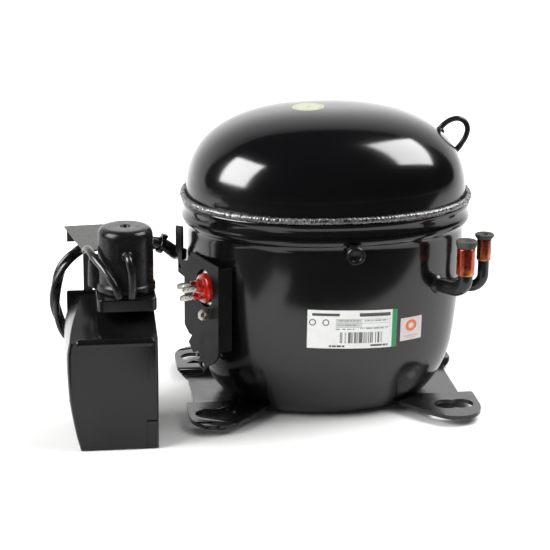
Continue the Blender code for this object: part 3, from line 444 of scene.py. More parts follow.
def loft(rings, closed=False):
    """Bridge rings of equal count; the ends are capped, or joined to each other when closed."""
    bm = bmesh.new()
    rows = [[bm.verts.new(point) for point in ring] for ring in rings]
    pairs = list(zip(rows, rows[1:]))
    if closed:
        pairs.append((rows[-1], rows[0]))
    else:
        bm.faces.new(rows[0])
        bm.faces.new(rows[-1])
    for low, high in pairs:
        count = len(low)
        for i in range(count):
            j = (i + 1) % count
            bm.faces.new((low[i], low[j], high[j], high[i]))
    return bm


def placed(bm, matrix):
    """A shape moved by a matrix, if there is one."""
    if matrix:
        bm.transform(matrix)
    return bm


def aimed(place, along):
    """Matrix that stands local Z along a vector at a place."""
    return Matrix.Translation(place) @ along.to_track_quat("Z", "Y").to_matrix().to_4x4()


def cut_along(bm, place, normal, **options):
    """Cut every face that crosses a plane."""
    parts = bm.verts[:] + bm.edges[:] + bm.faces[:]
    bmesh.ops.bisect_plane(bm, geom=parts, plane_co=place, plane_no=normal, **options)


def sliced(bm, place, normal):
    """Take away what lies beyond a plane, and close the cut."""
    cut_along(bm, place, normal, clear_outer=True)
    bmesh.ops.holes_fill(bm, edges=[e for e in bm.edges if len(e.link_faces) == 1])
    return bm


def superellipse(wide, high, power, angle):
    """Point at an angle on a rounded outline; a power of 2 is an ellipse, and more is squarer."""
    c = math.cos(angle)
    s = math.sin(angle)
    return wide * math.copysign(abs(c) ** (2 / power), c), high * math.copysign(abs(s) ** (2 / power), s)


def shifted(points, middle, amount, closed=False):
    """A flat outline moved square to itself towards the side where a middle point lies."""
    moved = []
    last = len(points) - 1
    for i, here in enumerate(points):
        before, after = (i - 1, (i + 1) % len(points)) if closed else (max(i - 1, 0), min(i + 1, last))
        run = points[after] - points[before]
        normal = Vector((-run.y, run.x)).normalized()
        if normal.dot(middle - here) < 0:
            normal = -normal
        moved.append(here + normal * amount)
    return moved


def circle(radius, z, sides, centre=(0, 0)):
    turn = 2 * math.pi / sides
    return [Vector((centre[0] + radius * math.cos(i * turn), centre[1] + radius * math.sin(i * turn), z))
            for i in range(sides)]


def turned(profile, sides=48, centre=(0, 0), ring=False, matrix=None):
    """Turn a list of (radius, z) about a vertical axis; a ring has its own bore, a solid is capped."""
    return placed(loft([circle(radius, z, sides, centre) for radius, z in profile], ring), matrix)


def eased(profile, radius, steps=3):
    """A profile with each inner corner rounded by an arc-like curve of about one radius."""
    points = [Vector(p) for p in profile]
    made = [points[0]]
    for before, here, after in zip(points, points[1:], points[2:]):
        back = before - here
        on = after - here
        reach = min(radius, 0.45 * back.length, 0.45 * on.length)
        start = here + back.normalized() * reach
        end = here + on.normalized() * reach
        for i in range(steps + 1):
            t = i / steps
            made.append(start * (1 - t) ** 2 + here * 2 * t * (1 - t) + end * t * t)
    return made + [points[-1]]


def eased_loop(profile, radius, steps=3):
    """The same for a closed outline."""
    points = [Vector(p) for p in profile]
    return eased([points[-1]] + points + [points[0]], radius, steps)[1:-1]


def spline(points, spacing):
    """Points about one spacing apart on a natural cubic spline through some points."""
    knots = np.array([tuple(p) for p in points], float)
    at = np.concatenate(([0], np.cumsum(np.linalg.norm(np.diff(knots, axis=0), axis=1))))
    gap = np.diff(at)
    count = len(knots)
    system = np.eye(count)
    right = np.zeros_like(knots)
    for i in range(1, count - 1):
        system[i, i - 1:i + 2] = gap[i - 1], 2 * (gap[i - 1] + gap[i]), gap[i]
        right[i] = 6 * ((knots[i + 1] - knots[i]) / gap[i] - (knots[i] - knots[i - 1]) / gap[i - 1])
    bend = np.linalg.solve(system, right)
    made = []
    for i in range(count - 1):
        steps = max(1, round(gap[i] / spacing))
        for k in range(steps):
            b = k / steps
            a = 1 - b
            made.append(a * knots[i] + b * knots[i + 1]
                        + ((a ** 3 - a) * bend[i] + (b ** 3 - b) * bend[i + 1]) * gap[i] ** 2 / 6)
    made.append(knots[-1])
    return [Vector(p) for p in made]


def smooth_route(points, spacing):
    """Points about one spacing apart on a Catmull-Rom curve through the route's points."""
    knots = [Vector(p) for p in points]
    knots = [knots[0] * 2 - knots[1]] + knots + [knots[-1] * 2 - knots[-2]]
    route = []
    for a, b, c, d in zip(knots, knots[1:], knots[2:], knots[3:]):
        steps = max(1, round((c - b).length / spacing))
        for i in range(steps):
            t = i / steps
            route.append(0.5 * (2 * b + (c - a) * t + (2 * a - 5 * b + 4 * c - d) * t * t
                                + (3 * b - a - 3 * c + d) * t ** 3))
    route.append(knots[-2])
    return route


def swept(route, sides, radius, hint=(0, 0, 1)):
    """Rings carried along a route without twist; the radius may be a function of station and angle."""
    rings = []
    across = Vector(hint)
    for i, point in enumerate(route):
        along = (route[min(i + 1, len(route) - 1)] - route[max(i - 1, 0)]).normalized()
        across = (across - along * across.dot(along)).normalized()
        other = along.cross(across)
        ring = []
        for k in range(sides):
            angle = 2 * math.pi * k / sides
            reach = radius(i, angle) if callable(radius) else radius
            ring.append(point + (across * math.cos(angle) + other * math.sin(angle)) * reach)
        rings.append(ring)
    return rings


def round_bar(route, radius, sides):
    """A bar of one radius, its two ends drawn in."""
    ends = (0, len(route) - 1)
    return loft(swept(route, sides, lambda i, _: radius * BAR_END if i in ends else radius))


def prism(outline, low, high, matrix=None):
    """Extrude a flat outline along local Z."""
    return placed(loft([[Vector((x, y, z)) for x, y in outline] for z in (low, high)]), matrix)


def box(low, high, matrix=None):
    (x0, y0, z0), (x1, y1, z1) = low, high
    return prism([(x0, y0), (x1, y0), (x1, y1), (x0, y1)], z0, z1, matrix)


def raw(name, bm):
    """An object that is still being worked on, in millimetres."""
    bmesh.ops.recalc_face_normals(bm, faces=bm.faces)
    mesh = bpy.data.meshes.new(name)
    bm.to_mesh(mesh)
    bm.free()
    item = bpy.data.objects.new(name, mesh)
    bpy.context.collection.objects.link(item)
    return item


def settle(item):
    """Apply an object's modifiers."""
    graph = bpy.context.evaluated_depsgraph_get()
    mesh = bpy.data.meshes.new_from_object(item.evaluated_get(graph), depsgraph=graph)
    item.modifiers.clear()
    old = item.data
    item.data = mesh
    bpy.data.meshes.remove(old)


def combine(item, parts, operation):
    """Join shapes onto an object or cut them from it, and apply that."""
    for bm in parts:
        tool = raw("tool", bm)
        step = item.modifiers.new("step", "BOOLEAN")
        step.operation = operation
        step.object = tool
        settle(item)
        bpy.data.objects.remove(tool, do_unlink=True)


def rounded_edges(item, width, segments=2, angle=32):
    """Round every sharp edge, and let the wide faces set the normals."""
    item.data.shade_smooth()
    step = item.modifiers.new("edges", "BEVEL")
    step.width = width
    step.segments = segments
    step.limit_method = "ANGLE"
    step.angle_limit = math.radians(angle)
    step.use_clamp_overlap = True
    step = item.modifiers.new("normals", "WEIGHTED_NORMAL")
    step.weight = 90
    step.thresh = 0.02
    settle(item)


def finish(item, look, body="root", stands_for=(), sharp=38):
    """Scale a worked mesh to metres, give it its material, and put it in the frame for its node."""
    if item.name.endswith(FINE) and not stands_for:
        stands_for = (item.name[:-len(FINE)],)
    item.data.transform(Matrix.Scale(MM, 4))
    if not item.data.has_custom_normals:
        item.data.shade_smooth()
        item.data.set_sharp_from_angle(angle=math.radians(sharp))
    item.data.materials.clear()
    item.data.materials.append(looks[look])
    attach(item, body)
    if stands_for:
        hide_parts(*stands_for)
    return item


def piece(name, bm, look, body="root", stands_for=(), sharp=38):
    """A finished piece straight from a bmesh."""
    return finish(raw(name, bm), look, body, stands_for, sharp)


def copy_of(node):
    """A worked copy of a CAD node in millimetres, its triangles merged into flat faces."""
    bm = bmesh.new()
    bm.from_mesh(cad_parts[node].data)
    bm.transform(Matrix.Scale(1 / MM, 4))
    bmesh.ops.remove_doubles(bm, verts=bm.verts, dist=0.01)
    bmesh.ops.dissolve_limit(bm, angle_limit=math.radians(2), verts=bm.verts, edges=bm.edges)
    return bm


def refined(node, look, width):
    """A CAD node with its edges rounded."""
    item = raw(node + FINE, copy_of(node))
    rounded_edges(item, width)
    return finish(item, look)


# ---------------------------------------------------------------- camera, floor and light

def direction(azimuth, rise):
    """Unit vector at an azimuth, from +Y towards +X, and an angle above the floor."""
    return Vector((math.sin(azimuth) * math.cos(rise), math.cos(azimuth) * math.cos(rise), math.sin(rise)))


def place_camera():
    """Camera at the photographed angle."""
    back = direction(math.pi + CAMERA_TURN, CAMERA_RISE)
    side = (-back).cross(Vector((0, 0, 1))).normalized()
    lift = side.cross(-back)
    right = side * math.cos(CAMERA_ROLL) - lift * math.sin(CAMERA_ROLL)
    up = lift * math.cos(CAMERA_ROLL) + side * math.sin(CAMERA_ROLL)
    data = bpy.data.cameras.new("camera")
    data.sensor_width = SENSOR
    data.lens = LENS
    data.clip_end = 50
    camera = bpy.data.objects.new("camera", data)
    bpy.context.collection.objects.link(camera)
    turn = Matrix((right, up, back)).transposed().to_4x4()
    camera.matrix_world = Matrix.Translation((CAMERA_TARGET + back * CAMERA_DISTANCE) * MM) @ turn
    bpy.context.scene.camera = camera


def softbox(name, azimuth, height, roll, width, tall, power, distance=1500.0):
    """An area light in a direction from the object, facing it."""
    away = direction(math.radians(azimuth), math.radians(height))
    data = bpy.data.lights.new(name, "AREA")
    data.shape = "RECTANGLE"
    data.size = width * MM
    data.size_y = tall * MM
    data.energy = power
    light = bpy.data.objects.new(name, data)
    bpy.context.collection.objects.link(light)
    turn = Matrix.Rotation(math.radians(roll), 4, "Z")
    light.matrix_world = aimed((LIT_POINT + away * distance) * MM, away) @ turn
    return light


def sheet(name, bm, look):
    """A surface of the studio, in metres."""
    item = raw(name, bm)
    item.data.transform(Matrix.Scale(MM, 4))
    item.data.materials.append(look.material)
    return item


def make_studio():
    """Pale sweep that glows, a painted light that rises behind the object and fades with height; a dark flag that
    only reflections see, two softboxes, a key light and even fill.

    Each softbox has a twin of its own strength that lights reflections only.
    """
    look = Look("studio_paper", (0.86, 0.86, 0.855), 0.9)
    look.colour(look.tint(look.spread(look.noise(220, 3), 0.3, 0.7), (0.85, 0.85, 0.845), (0.88, 0.88, 0.875)))
    axes = look.axes()
    glow_behind = look.spread(axes["Y"], 0.25, 1.5, 0.0, 1.0)
    glow_fade_with_height = look.spread(axes["Z"], 0.3, SWEEP_TOP * MM, 1.0, 0.12)
    # The sweep's glow is painted light: none close in front, rising behind the object and dimming higher up.
    look.feed(look.shader.inputs["Emission Color"], (1, 1, 1, 1))
    look.feed(look.shader.inputs["Emission Strength"], look.sum("MULTIPLY", glow_behind, glow_fade_with_height))
    profile = [(-FLOOR_REACH, 0.0), (-400, 0.0), (400, 0.0), (SWEEP_START, 0.0)]
    for i in range(1, 19):
        turn = math.radians(5 * i)
        profile.append((SWEEP_START + SWEEP_RADIUS * math.sin(turn), SWEEP_RADIUS * (1 - math.cos(turn))))
    profile.append((profile[-1][0], SWEEP_TOP))
    bm = bmesh.new()
    rows = [[bm.verts.new((x, y, z)) for y, z in profile] for x in (-FLOOR_REACH, FLOOR_REACH)]
    for i in range(len(profile) - 1):
        bm.faces.new((rows[0][i], rows[1][i], rows[1][i + 1], rows[0][i + 1]))
    item = sheet("floor", bm, look)
    item.data.shade_smooth()
    if item.data.polygons[0].normal.z < 0:
        item.data.flip_normals()

    card = Look("flag_black", (0.004, 0.004, 0.004), 0.9)
    card.colour(card.tint(card.noise(200, 2), (0.003, 0.003, 0.003), (0.006, 0.006, 0.006)))
    bm = bmesh.new()
    bm.faces.new([bm.verts.new((x, y, FLAG_HEIGHT)) for x, y in FLAG_CORNERS])
    flag = sheet("flag", bm, card)
    for kind in ("camera", "diffuse", "shadow", "transmission"):
        setattr(flag, "visible_" + kind, False)

    for label, place, fill, gloss in (("left", (-106, 30, 0, 880, 950), 29, 27),
                                      ("right", (95, 48, -37, 870, 970), 20, 22)):
        softbox("softbox_" + label, *place, fill)
        softbox("sheen_" + label, *place, gloss, 1502.0).visible_diffuse = False
    softbox("key", 55, 55, 0, 1000, 1000, 30, 2200.0).visible_glossy = False
    world = bpy.data.worlds.new("room")
    world.use_nodes = True
    background = world.node_tree.nodes["Background"]
    background.inputs["Color"].default_value = (1, 1, 1, 1)
    background.inputs["Strength"].default_value = FILL_LIGHT
    world.cycles_visibility.glossy = False
    bpy.context.scene.world = world
    bpy.context.scene.view_settings.view_transform = "Standard"


# ---------------------------------------------------------------- cords

def make_harness():
    """Three sleeved leads twisted together as one cord, with its connector and cable tie."""
    route = smooth_route(HARNESS_ROUTE, 1.5)
    offset = STRAND_OFFSET * HARNESS_RADIUS
    strand = HARNESS_RADIUS - offset
    travelled = [0.0]
    for a, b in zip(route, route[1:]):
        travelled.append(travelled[-1] + (b - a).length)

    def lobes(i, angle):
        around = (angle - 2 * math.pi * travelled[i] / STRAND_PITCH) % (2 * math.pi / 3) - math.pi / 3
        rim = offset * math.cos(around) + math.sqrt(strand ** 2 - (offset * math.sin(around)) ** 2)
        left = travelled[-1] - travelled[i]
        return rim * (1 + SLEEVE_SWELL * (smooth_step((60 - left) / 30) - smooth_step((9 - left) / 7)))
    harness = piece("harness_fine", loft(swept(route, 48, lobes)), "sleeving", sharp=50)
    connector = refined("harness_connector", "moulded_black", 0.7)

    at = min(range(len(route)), key=lambda i: (route[i] - Vector(HARNESS_ROUTE[TIE_AT])).length)
    turn = aimed(route[at], (route[at + 1] - route[at - 1]).normalized())
    band = [(6.6, -1.8), (6.6, 1.8), (5.5, 1.8), (5.5, -1.8)]
    tie = raw("cable_tie_fine", turned(eased_loop(band, 0.5), 48, ring=True, matrix=turn))
    combine(tie, [box((-2.2, 5.8, -2.2), (2.2, 8.4, 2.2), turn)], "UNION")
    combine(tie, [box((-0.9, 7.6, -1.3), (0.9, 12.0, 1.3), turn)], "DIFFERENCE")
    rounded_edges(tie, 0.25)
    finish(tie, "moulded_black")


# ---------------------------------------------------------------- shell

def oval_point(length, angle):
    """Point on the shell's plan outline of a given half length."""
    return superellipse(length, length * SHELL_ASPECT, SHELL_POWER, angle)


def oval(length, z, sides=SHELL_SIDES):
    turn = 2 * math.pi / sides
    return [Vector((*oval_point(length, i * turn), z)) for i in range(sides)]


def dome_profile():
    """Crown to spring line on a superellipse, then the straight skirt inside the bowl's rim."""
    points = []
    steps = 44
    for i in range(steps + 1):
        angle = math.radians(2 + 88 * i / steps)
        a = DOME_LENGTH * math.sin(angle) ** (2 / DOME_POWER)
        z = DOME_SPRING + DOME_RISE * max(0.0, math.cos(angle)) ** (2 / DOME_POWER)
        points.append(Vector((a, z)))
    for z in (154.5, 151.5, DOME_FOOT):
        points.append(Vector((DOME_LENGTH, z)))
    return points


def bowl_profile():
    """Flat bottom, deep drawn side and the double-ridged flange under the weld."""
    side = [Vector((p.x, max(0.0, p.y))) for p in spline(BOWL_PROFILE, 2.6)[1:]]
    return side + eased([side[-1]] + [Vector(p) for p in FLANGE_PROFILE], 0.9)[1:]


def dome_height(x, y):
    """Height of the dome's outer surface over a point."""
    length = (abs(x) ** SHELL_POWER + (abs(y) / SHELL_ASPECT) ** SHELL_POWER) ** (1 / SHELL_POWER)
    return DOME_SPRING + DOME_RISE * max(0.0, 1 - (length / DOME_LENGTH) ** DOME_POWER) ** (1 / DOME_POWER)


def bowl_front(x, z, profile):
    """Point of the bowl's front wall at an X and a height."""
    for low, high in zip(profile, profile[1:]):
        if low.y <= z <= high.y:
            length = low.x + (high.x - low.x) * (z - low.y) / (high.y - low.y)
            y = -SHELL_ASPECT * (length ** SHELL_POWER - abs(x) ** SHELL_POWER) ** (1 / SHELL_POWER)
            return Vector((x, y, z))
    raise ValueError("no wall at height %g" % z)


def make_shell():
    """Dome, bowl, weld bead and lifting eye."""
    dome = dome_profile()
    inner = shifted(dome, SHELL_MIDDLE, WALL)
    inner[-1] = Vector((DOME_LENGTH - WALL, DOME_FOOT))
    bm = loft([oval(p.x, p.y) for p in dome + inner[::-1]])
    piece("dome", bm, "shell_black", stands_for=("upper_shell",))

    bowl = bowl_profile()
    rim = [p for p in bowl if p.y <= 136]
    inside = shifted(rim, SHELL_MIDDLE, WALL)
    neck = [Vector((104.9, 148.2)), Vector((101.4, 146.6)), Vector((100.4, 140))]
    bm = loft([oval(p.x, p.y) for p in bowl + neck + inside[::-1]])
    piece("bowl", bm, "shell_black", stands_for=("lower_shell",))

    steps = 900
    sides = 14
    rings = []
    for i in range(steps):
        angle = 2 * math.pi * i / steps
        here = Vector((*oval_point(BEAD_CENTRE[0], angle), 0))
        flow = noise.noise(here * 0.11)
        swell = 0.14 * noise.noise(here * 0.45) + 0.1 * math.sin(260 * angle + 5 * flow)
        ring = []
        for k in range(sides):
            around = 2 * math.pi * k / sides
            lump = 0.22 * noise.noise(Vector((here.x * 0.7, here.y * 0.7, 3 * around)))
            radius = BEAD_RADIUS * (1 + swell + lump)
            a = BEAD_CENTRE[0] + radius * math.cos(around)
            z = BEAD_CENTRE[1] + 0.25 * flow + radius * math.sin(around)
            ring.append(Vector((*oval_point(a, angle), z)))
        rings.append(ring)
    piece("weld", loft(rings, closed=True), "weld_metal", stands_for=("weld_bead",), sharp=80)

    route = smooth_route(EYE_ROUTE, 1.2)
    count = len(route) - 1

    def forged(i, angle):
        squeeze = 0.2 * max(0.0, 1 - min(i, count - i) / 7) * math.cos(2 * angle)
        return EYE_RADIUS * (1 - squeeze + 0.02 * noise.noise(route[i] * 0.8))
    item = raw("lifting_eye_fine", loft(swept(route, 20, forged, (0, 1, 0))))
    for place, normal in (((88.4, 9, 201.4), (0.62, 0.05, 0.78)), ((100.2, 9, 184.8), (0.94, 0.06, 0.34))):
        blob = bmesh.new()
        bmesh.ops.create_icosphere(blob, subdivisions=4, radius=3.6)
        for vert in blob.verts:
            vert.co *= 1 + 0.12 * noise.noise(vert.co * 0.9)
            vert.co.z *= 0.5
        combine(item, [placed(blob, aimed(place, Vector(normal)))], "UNION")
    finish(item, "plate_black", sharp=60)


def patch(rows, lift):
    """A thin closed sheet over a grid of (point, normal), raised a little from the surface."""
    bm = bmesh.new()
    layers = []
    for height in (lift, 0.02):
        layers.append([[bm.verts.new(point + normal * height) for point, normal in row] for row in rows])
    top, base = layers
    high = len(rows) - 1
    wide = len(rows[0]) - 1
    for layer in layers:
        for j in range(high):
            for i in range(wide):
                bm.faces.new((layer[j][i], layer[j][i + 1], layer[j + 1][i + 1], layer[j + 1][i]))
    border = [(j, 0) for j in range(high)] + [(high, i) for i in range(wide)]
    border += [(j, wide) for j in range(high, 0, -1)] + [(0, i) for i in range(wide, 0, -1)]
    for (j0, i0), (j1, i1) in zip(border, border[1:] + border[:1]):
        bm.faces.new((top[j0][i0], top[j1][i1], base[j1][i1], base[j0][i0]))
    return bm


def make_labels():
    """Rating label and small sticker on the bowl's front, and the round sticker on the dome."""
    profile = spline(BOWL_PROFILE, 1.0)
    for name, place in (("rating_label", LABEL), ("small_label", SMALL_LABEL)):
        rows = []
        high = 24
        wide = round((place["right"] - place["left"]) / 1.2)
        for j in range(high + 1):
            row = []
            for i in range(wide + 1):
                across = i / wide
                x = place["left"] + (place["right"] - place["left"]) * across
                z = place["bottom"] + (place["top"] - place["bottom"]) * j / high - place["drop"] * across
                point = bowl_front(x, z, profile)
                normal = (bowl_front(x + 0.5, z, profile) - point).cross(bowl_front(x, z + 1.0, profile) - point)
                row.append((point, normal.normalized()))
            rows.append(row)
        piece(name, patch(rows, 0.16), name)

    rings = []
    for radius, lift in ((0.6, 0.14), (3, 0.14), (6, 0.14), (9, 0.14), (11.4, 0.14), (STICKER_RADIUS, 0.1),
                         (STICKER_RADIUS, 0.02), (6, 0.02), (0.6, 0.02)):
        rings.append([Vector((p.x, p.y, dome_height(p.x, p.y) + lift)) for p in circle(radius, 0, 72, STICKER)])
    piece("dome_sticker", loft(rings), "dome_sticker")


# ---------------------------------------------------------------- feet

def smooth_step(t):
    t = max(0.0, min(1.0, t))
    return t * t * (3 - 2 * t)


def plate_height(x, y):
    """How far a foot is pressed up: pads behind a step beside its strip and a ramp inwards."""
    step = smooth_step((abs(y) - STRIP_Y - STEP_FROM) / STEP_RUN)
    ramp = smooth_step((RAMP_SLOPE[0] * abs(x) + RAMP_SLOPE[1] * abs(y) - RAMP_FROM) / RAMP_RUN)
    return PAD_RAISE * min(step, ramp)


def slot_outline(centre):
    """Two circles side by side that run into each other, as one outline."""
    half = SLOT_SPACING / 2
    meet = math.acos(half / SLOT_RADIUS)
    steps = 28
    outline = []
    for side in (1, -1):
        for k in range(steps + 1):
            angle = -math.pi + meet + (2 * math.pi - 2 * meet) * k / steps
            outline.append((centre[0] + side * (half + SLOT_RADIUS * math.cos(angle)),
                            centre[1] + side * SLOT_RADIUS * math.sin(angle)))
    return [p for k, p in enumerate(outline) if (Vector(p) - Vector(outline[k - 1])).length > 0.01]


def make_foot(name, side):
    """Pressed foot with soft bends, rounded edges and two slots, cut to fit the bowl."""
    outline = [(side * x, y) for x, y in FOOT_EDGE] + [(side * x, -y) for x, y in FOOT_EDGE[::-1]]
    outline = eased_loop([Vector(p) for p in outline], 6.0, 4)
    bm = bmesh.new()
    bm.faces.new([bm.verts.new((p.x, p.y, PLATE_THICKNESS)) for p in outline])
    cuts = []
    for end in (-1, 1):
        for i in range(13):
            cuts.append(((0, end * (STRIP_Y + STEP_FROM + STEP_RUN * i / 12), 0), (0, 1, 0)))
        normal = Vector((RAMP_SLOPE[0] * side, RAMP_SLOPE[1] * end, 0))
        reach = normal.normalized() / normal.length
        cuts += [(reach * (RAMP_FROM + RAMP_RUN * i / 14), normal) for i in range(15)]
    for place, normal in cuts:
        cut_along(bm, place, normal, dist=0.0001)
    bmesh.ops.triangulate(bm, faces=bm.faces)
    grown = bmesh.ops.extrude_face_region(bm, geom=bm.faces[:])
    for vert in grown["geom"]:
        if isinstance(vert, bmesh.types.BMVert):
            vert.co.z = 0
    for vert in bm.verts:
        vert.co.z += plate_height(vert.co.x, vert.co.y)
    foot = raw(name + FINE, bm)
    seat = loft([oval(length, z) for length, z in BOWL_SEAT])
    slots = [prism(slot_outline((side * SLOT_CENTRE[0], end * SLOT_CENTRE[1])), -2, 20) for end in (-1, 1)]
    combine(foot, [seat] + slots, "DIFFERENCE")
    rounded_edges(foot, 0.55, 3, 50)
    finish(foot, "plate_black")


# ---------------------------------------------------------------- tubes

def stub_route(stub):
    """Out of the shell square to its wall, then a round bend up to the open end."""
    angle = math.radians(stub["at"])
    x, y = oval_point(STUB_FOOT, angle)
    a = STUB_FOOT + 0.4
    power = SHELL_POWER - 1
    out = Vector((math.copysign(abs(x / a) ** power / a, x),
                  math.copysign(abs(y / (a * SHELL_ASPECT)) ** power / (a * SHELL_ASPECT), y), 0)).normalized()
    start = Vector((x, y, stub["z"]))
    bend = stub["bend"]
    route = [start - out * 14, start - out * 6, start, start + out * (stub["reach"] - bend)]
    centre = route[-1] + Vector((0, 0, bend))
    for i in range(1, 19):
        turn = math.radians(5 * i)
        route.append(centre + out * bend * math.sin(turn) - Vector((0, 0, bend)) * math.cos(turn))
    end = route[-1].copy()
    end.z = stub["top"] - 4
    route.append(end)
    return route, start, out


def make_tubes():
    """Steel stubs with copper ends and rubber plugs, and the capped process stub."""
    for name, stub in TUBE_STUBS.items():
        route, start, out = stub_route(stub)
        radius = stub["radius"]
        rings = swept(route, 40, radius) + swept(route, 40, stub["bore"])[::-1]
        tube = raw(name + "_tube_fine", loft(rings, closed=True))
        collar = [(radius + 0.1, -1.6), (radius + 1.9, -1.2), (radius + 1.5, 0.0), (radius + 0.7, 1.1),
                  (radius + 0.1, 1.9), (radius - 0.4, 1.9), (radius - 0.4, -1.6)]
        turn = aimed(start + out * 0.4, out)
        combine(tube, [turned(eased_loop(collar, 0.5, 2), 40, ring=True, matrix=turn)], "UNION")
        finish(tube, "plate_black", sharp=50)

        foot = (route[-1].x, route[-1].y)
        inner = radius + GAP
        outer = inner + SLEEVE_WALL
        top = stub["top"]
        low = top - stub["sleeve"]
        sleeve = [(outer - 0.15, low), (outer, low + 0.5), (outer, top - 0.4), (outer - 0.3, top), (inner, top),
                  (inner, low)]
        piece(name + "_copper_fine", turned(eased_loop(sleeve, 0.25, 2), 56, foot, True), name + "_copper",
              stands_for=(name + "_copper_end",))

        stem = stub["bore"] - GAP
        low = top + GAP
        high = low + stub["cap"]
        lip = outer + stub["lip"]
        cap = [(stem, low - CAP_STEM), (stem, low), (outer + 0.2, low), (lip, high - 1.9), (lip, high - 0.5),
               (lip - 0.7, high), (0.5 * outer, high - 0.4), (0.36 * outer, high - 1.7), (0.05, high - 1.9)]
        bm = turned(eased(cap, 0.6), 56, foot)
        piece(name + "_plug_fine", bm, "rubber", name + "_cap")

    turn = Matrix.Translation((PROCESS[0], 0, PROCESS[1])) @ FORWARD
    out = PROCESS_END
    pipe = [(5.0, 70), (5.0, out), (3.8, out), (3.8, 70)]
    piece("process_tube_fine", turned(eased_loop(pipe, 0.3, 2), 40, ring=True, matrix=turn), "plate_black")
    cap = [(5.3, out - 4), (6.4, out - 4), (6.8, out - 3.4), (6.8, out - 1.8), (6.5, out - 1.4), (6.5, out - 0.8),
           (6.8, out - 0.4), (6.8, out + 2), (5.8, out + 3.2), (4.4, out + 3.2), (3.8, out + 2.2), (0.05, out + 1.2),
           (0.05, out + 0.4), (5.3, out + 0.4)]
    piece("process_cap_fine", turned(eased_loop(cap, 0.35, 2), 48, ring=True, matrix=turn), "boot_black")


# ---------------------------------------------------------------- terminal side

def make_terminal():
    """Fence, terminal body, red insulator with its three bosses, blades and the earth tab."""
    refined("terminal_fence", "fence_black", 0.35)
    refined("terminal_body", "tin", 0.4)
    refined("earth_tab", "tin", 0.18)
    base = [(10.7, 102.3), (11.0, 102.6), (11.0, 105.8), (10.6, 106.4), (9.9, 107.0), (8.2, 107.6), (7.4, 108.6),
            (7.0, 111.0), (6.4, 111.5)]
    profile = eased([(0.05, 102.3)] + base + [(0.05, 111.5)], 0.6)
    insulator = raw("terminal_insulator_fine", turned(profile, 72, TERMINAL, matrix=SIDE_FRAME))
    boss = eased([(0.05, 106), (2.9, 106), (2.8, 112.6), (2.2, 113.4), (0.05, 113.5)], 0.5)
    hole = [(0.05, 84), (1.5, 84), (1.5, 120), (0.05, 120)]
    pins = [Vector((TERMINAL[0] + PIN_CIRCLE * math.cos(math.radians(angle)),
                    TERMINAL[1] + PIN_CIRCLE * math.sin(math.radians(angle)), 0)) for angle in PIN_ANGLES]
    for place in pins:
        combine(insulator, [turned(boss, 36, place, matrix=SIDE_FRAME)], "UNION")
        combine(insulator, [turned(hole, 24, place, matrix=SIDE_FRAME)], "DIFFERENCE")
    rounded_edges(insulator, 0.25)
    finish(insulator, "insulator_red")

    for i, place in enumerate(pins, 1):
        rings = []
        for thick, high, depth, power in PIN_SECTIONS:
            rings.append([place + Vector((*superellipse(thick, high, power, math.pi * k / 16), depth))
                          for k in range(32)])
        blade = raw("terminal_pin_%d_fine" % i, loft(rings))
        across = aimed(place + Vector((0, 0, PIN_HOLE)), Vector((1, 0, 0)))
        combine(blade, [turned([(0.8, -2), (0.8, 2)], 20, matrix=across)], "DIFFERENCE")
        blade.data.transform(SIDE_FRAME)
        finish(blade, "tin", sharp=45)


# ---------------------------------------------------------------- electrical box

def make_box():
    """Snap-on cover with its roll and clips, the back plate, socket and bracket."""
    left, right = BOX_X
    bulge = smooth_route([(left + x, z) for x, z in BOX_BULGE], 3.0)
    outline = [Vector((right, 0)), Vector((right, BOX_TOP_BACK))] + [Vector((p.x, p.y)) for p in bulge]
    middle = Vector(((left + right) / 2, BOX_TOP_BACK / 2))
    depth = -BOX_FRONT
    rings = []
    for inset, level in BOX_ROUND:
        rings.append([Vector((p.x, p.y, depth + level)) for p in shifted(outline, middle, inset, True)])
    slope_from = Vector((0, BOX_FRONT, BOX_TOP_FRONT))
    slope = (Vector((0, BOX_SLOPE_END, BOX_TOP_BACK)) - slope_from).cross(Vector((-1, 0, 0)))
    slope = slope.normalized() * (1 if slope.z > 0 else -1)
    cover = raw("box_cover_fine", sliced(placed(loft(rings), FORWARD), slope_from, slope))

    inside = [Vector((middle.x + (p.x - middle.x) * 0.925, 2.4 + p.y * 0.88)) for p in outline]
    hollow = prism(inside, -BOX_BACK - 5, depth - BOX_WALL, FORWARD)
    combine(cover, [sliced(hollow, slope_from - slope * 2.6, slope)], "DIFFERENCE")

    roll = [Vector((x, BOX_FRONT + 3.0, 79.8)) for x in (left + 6.5, left + 7.4, left + 8.6, right - 5.0,
                                                         right - 3.4, right - 2.4)]
    swell = (2.0, 3.1, 3.6, 3.6, 3.1, 2.0)
    combine(cover, [loft(swept(roll, 32, lambda i, _: swell[i]))], "UNION")
    corner = Matrix.Translation((right, BOX_FRONT, 0))
    for blocks, operation in ((BOX_CUTS, "DIFFERENCE"), (BOX_CLIPS, "UNION")):
        combine(cover, [box(low, high, corner) for low, high in blocks], operation)
    rounded_edges(cover, 0.35)
    finish(cover, "moulded_black", "cover")

    refined("box_back_plate", "moulded_black", 0.4)
    refined("capacitor_socket", "moulded_black", 0.9)
    refined("harness_bracket", "zinc_steel", 0.3)


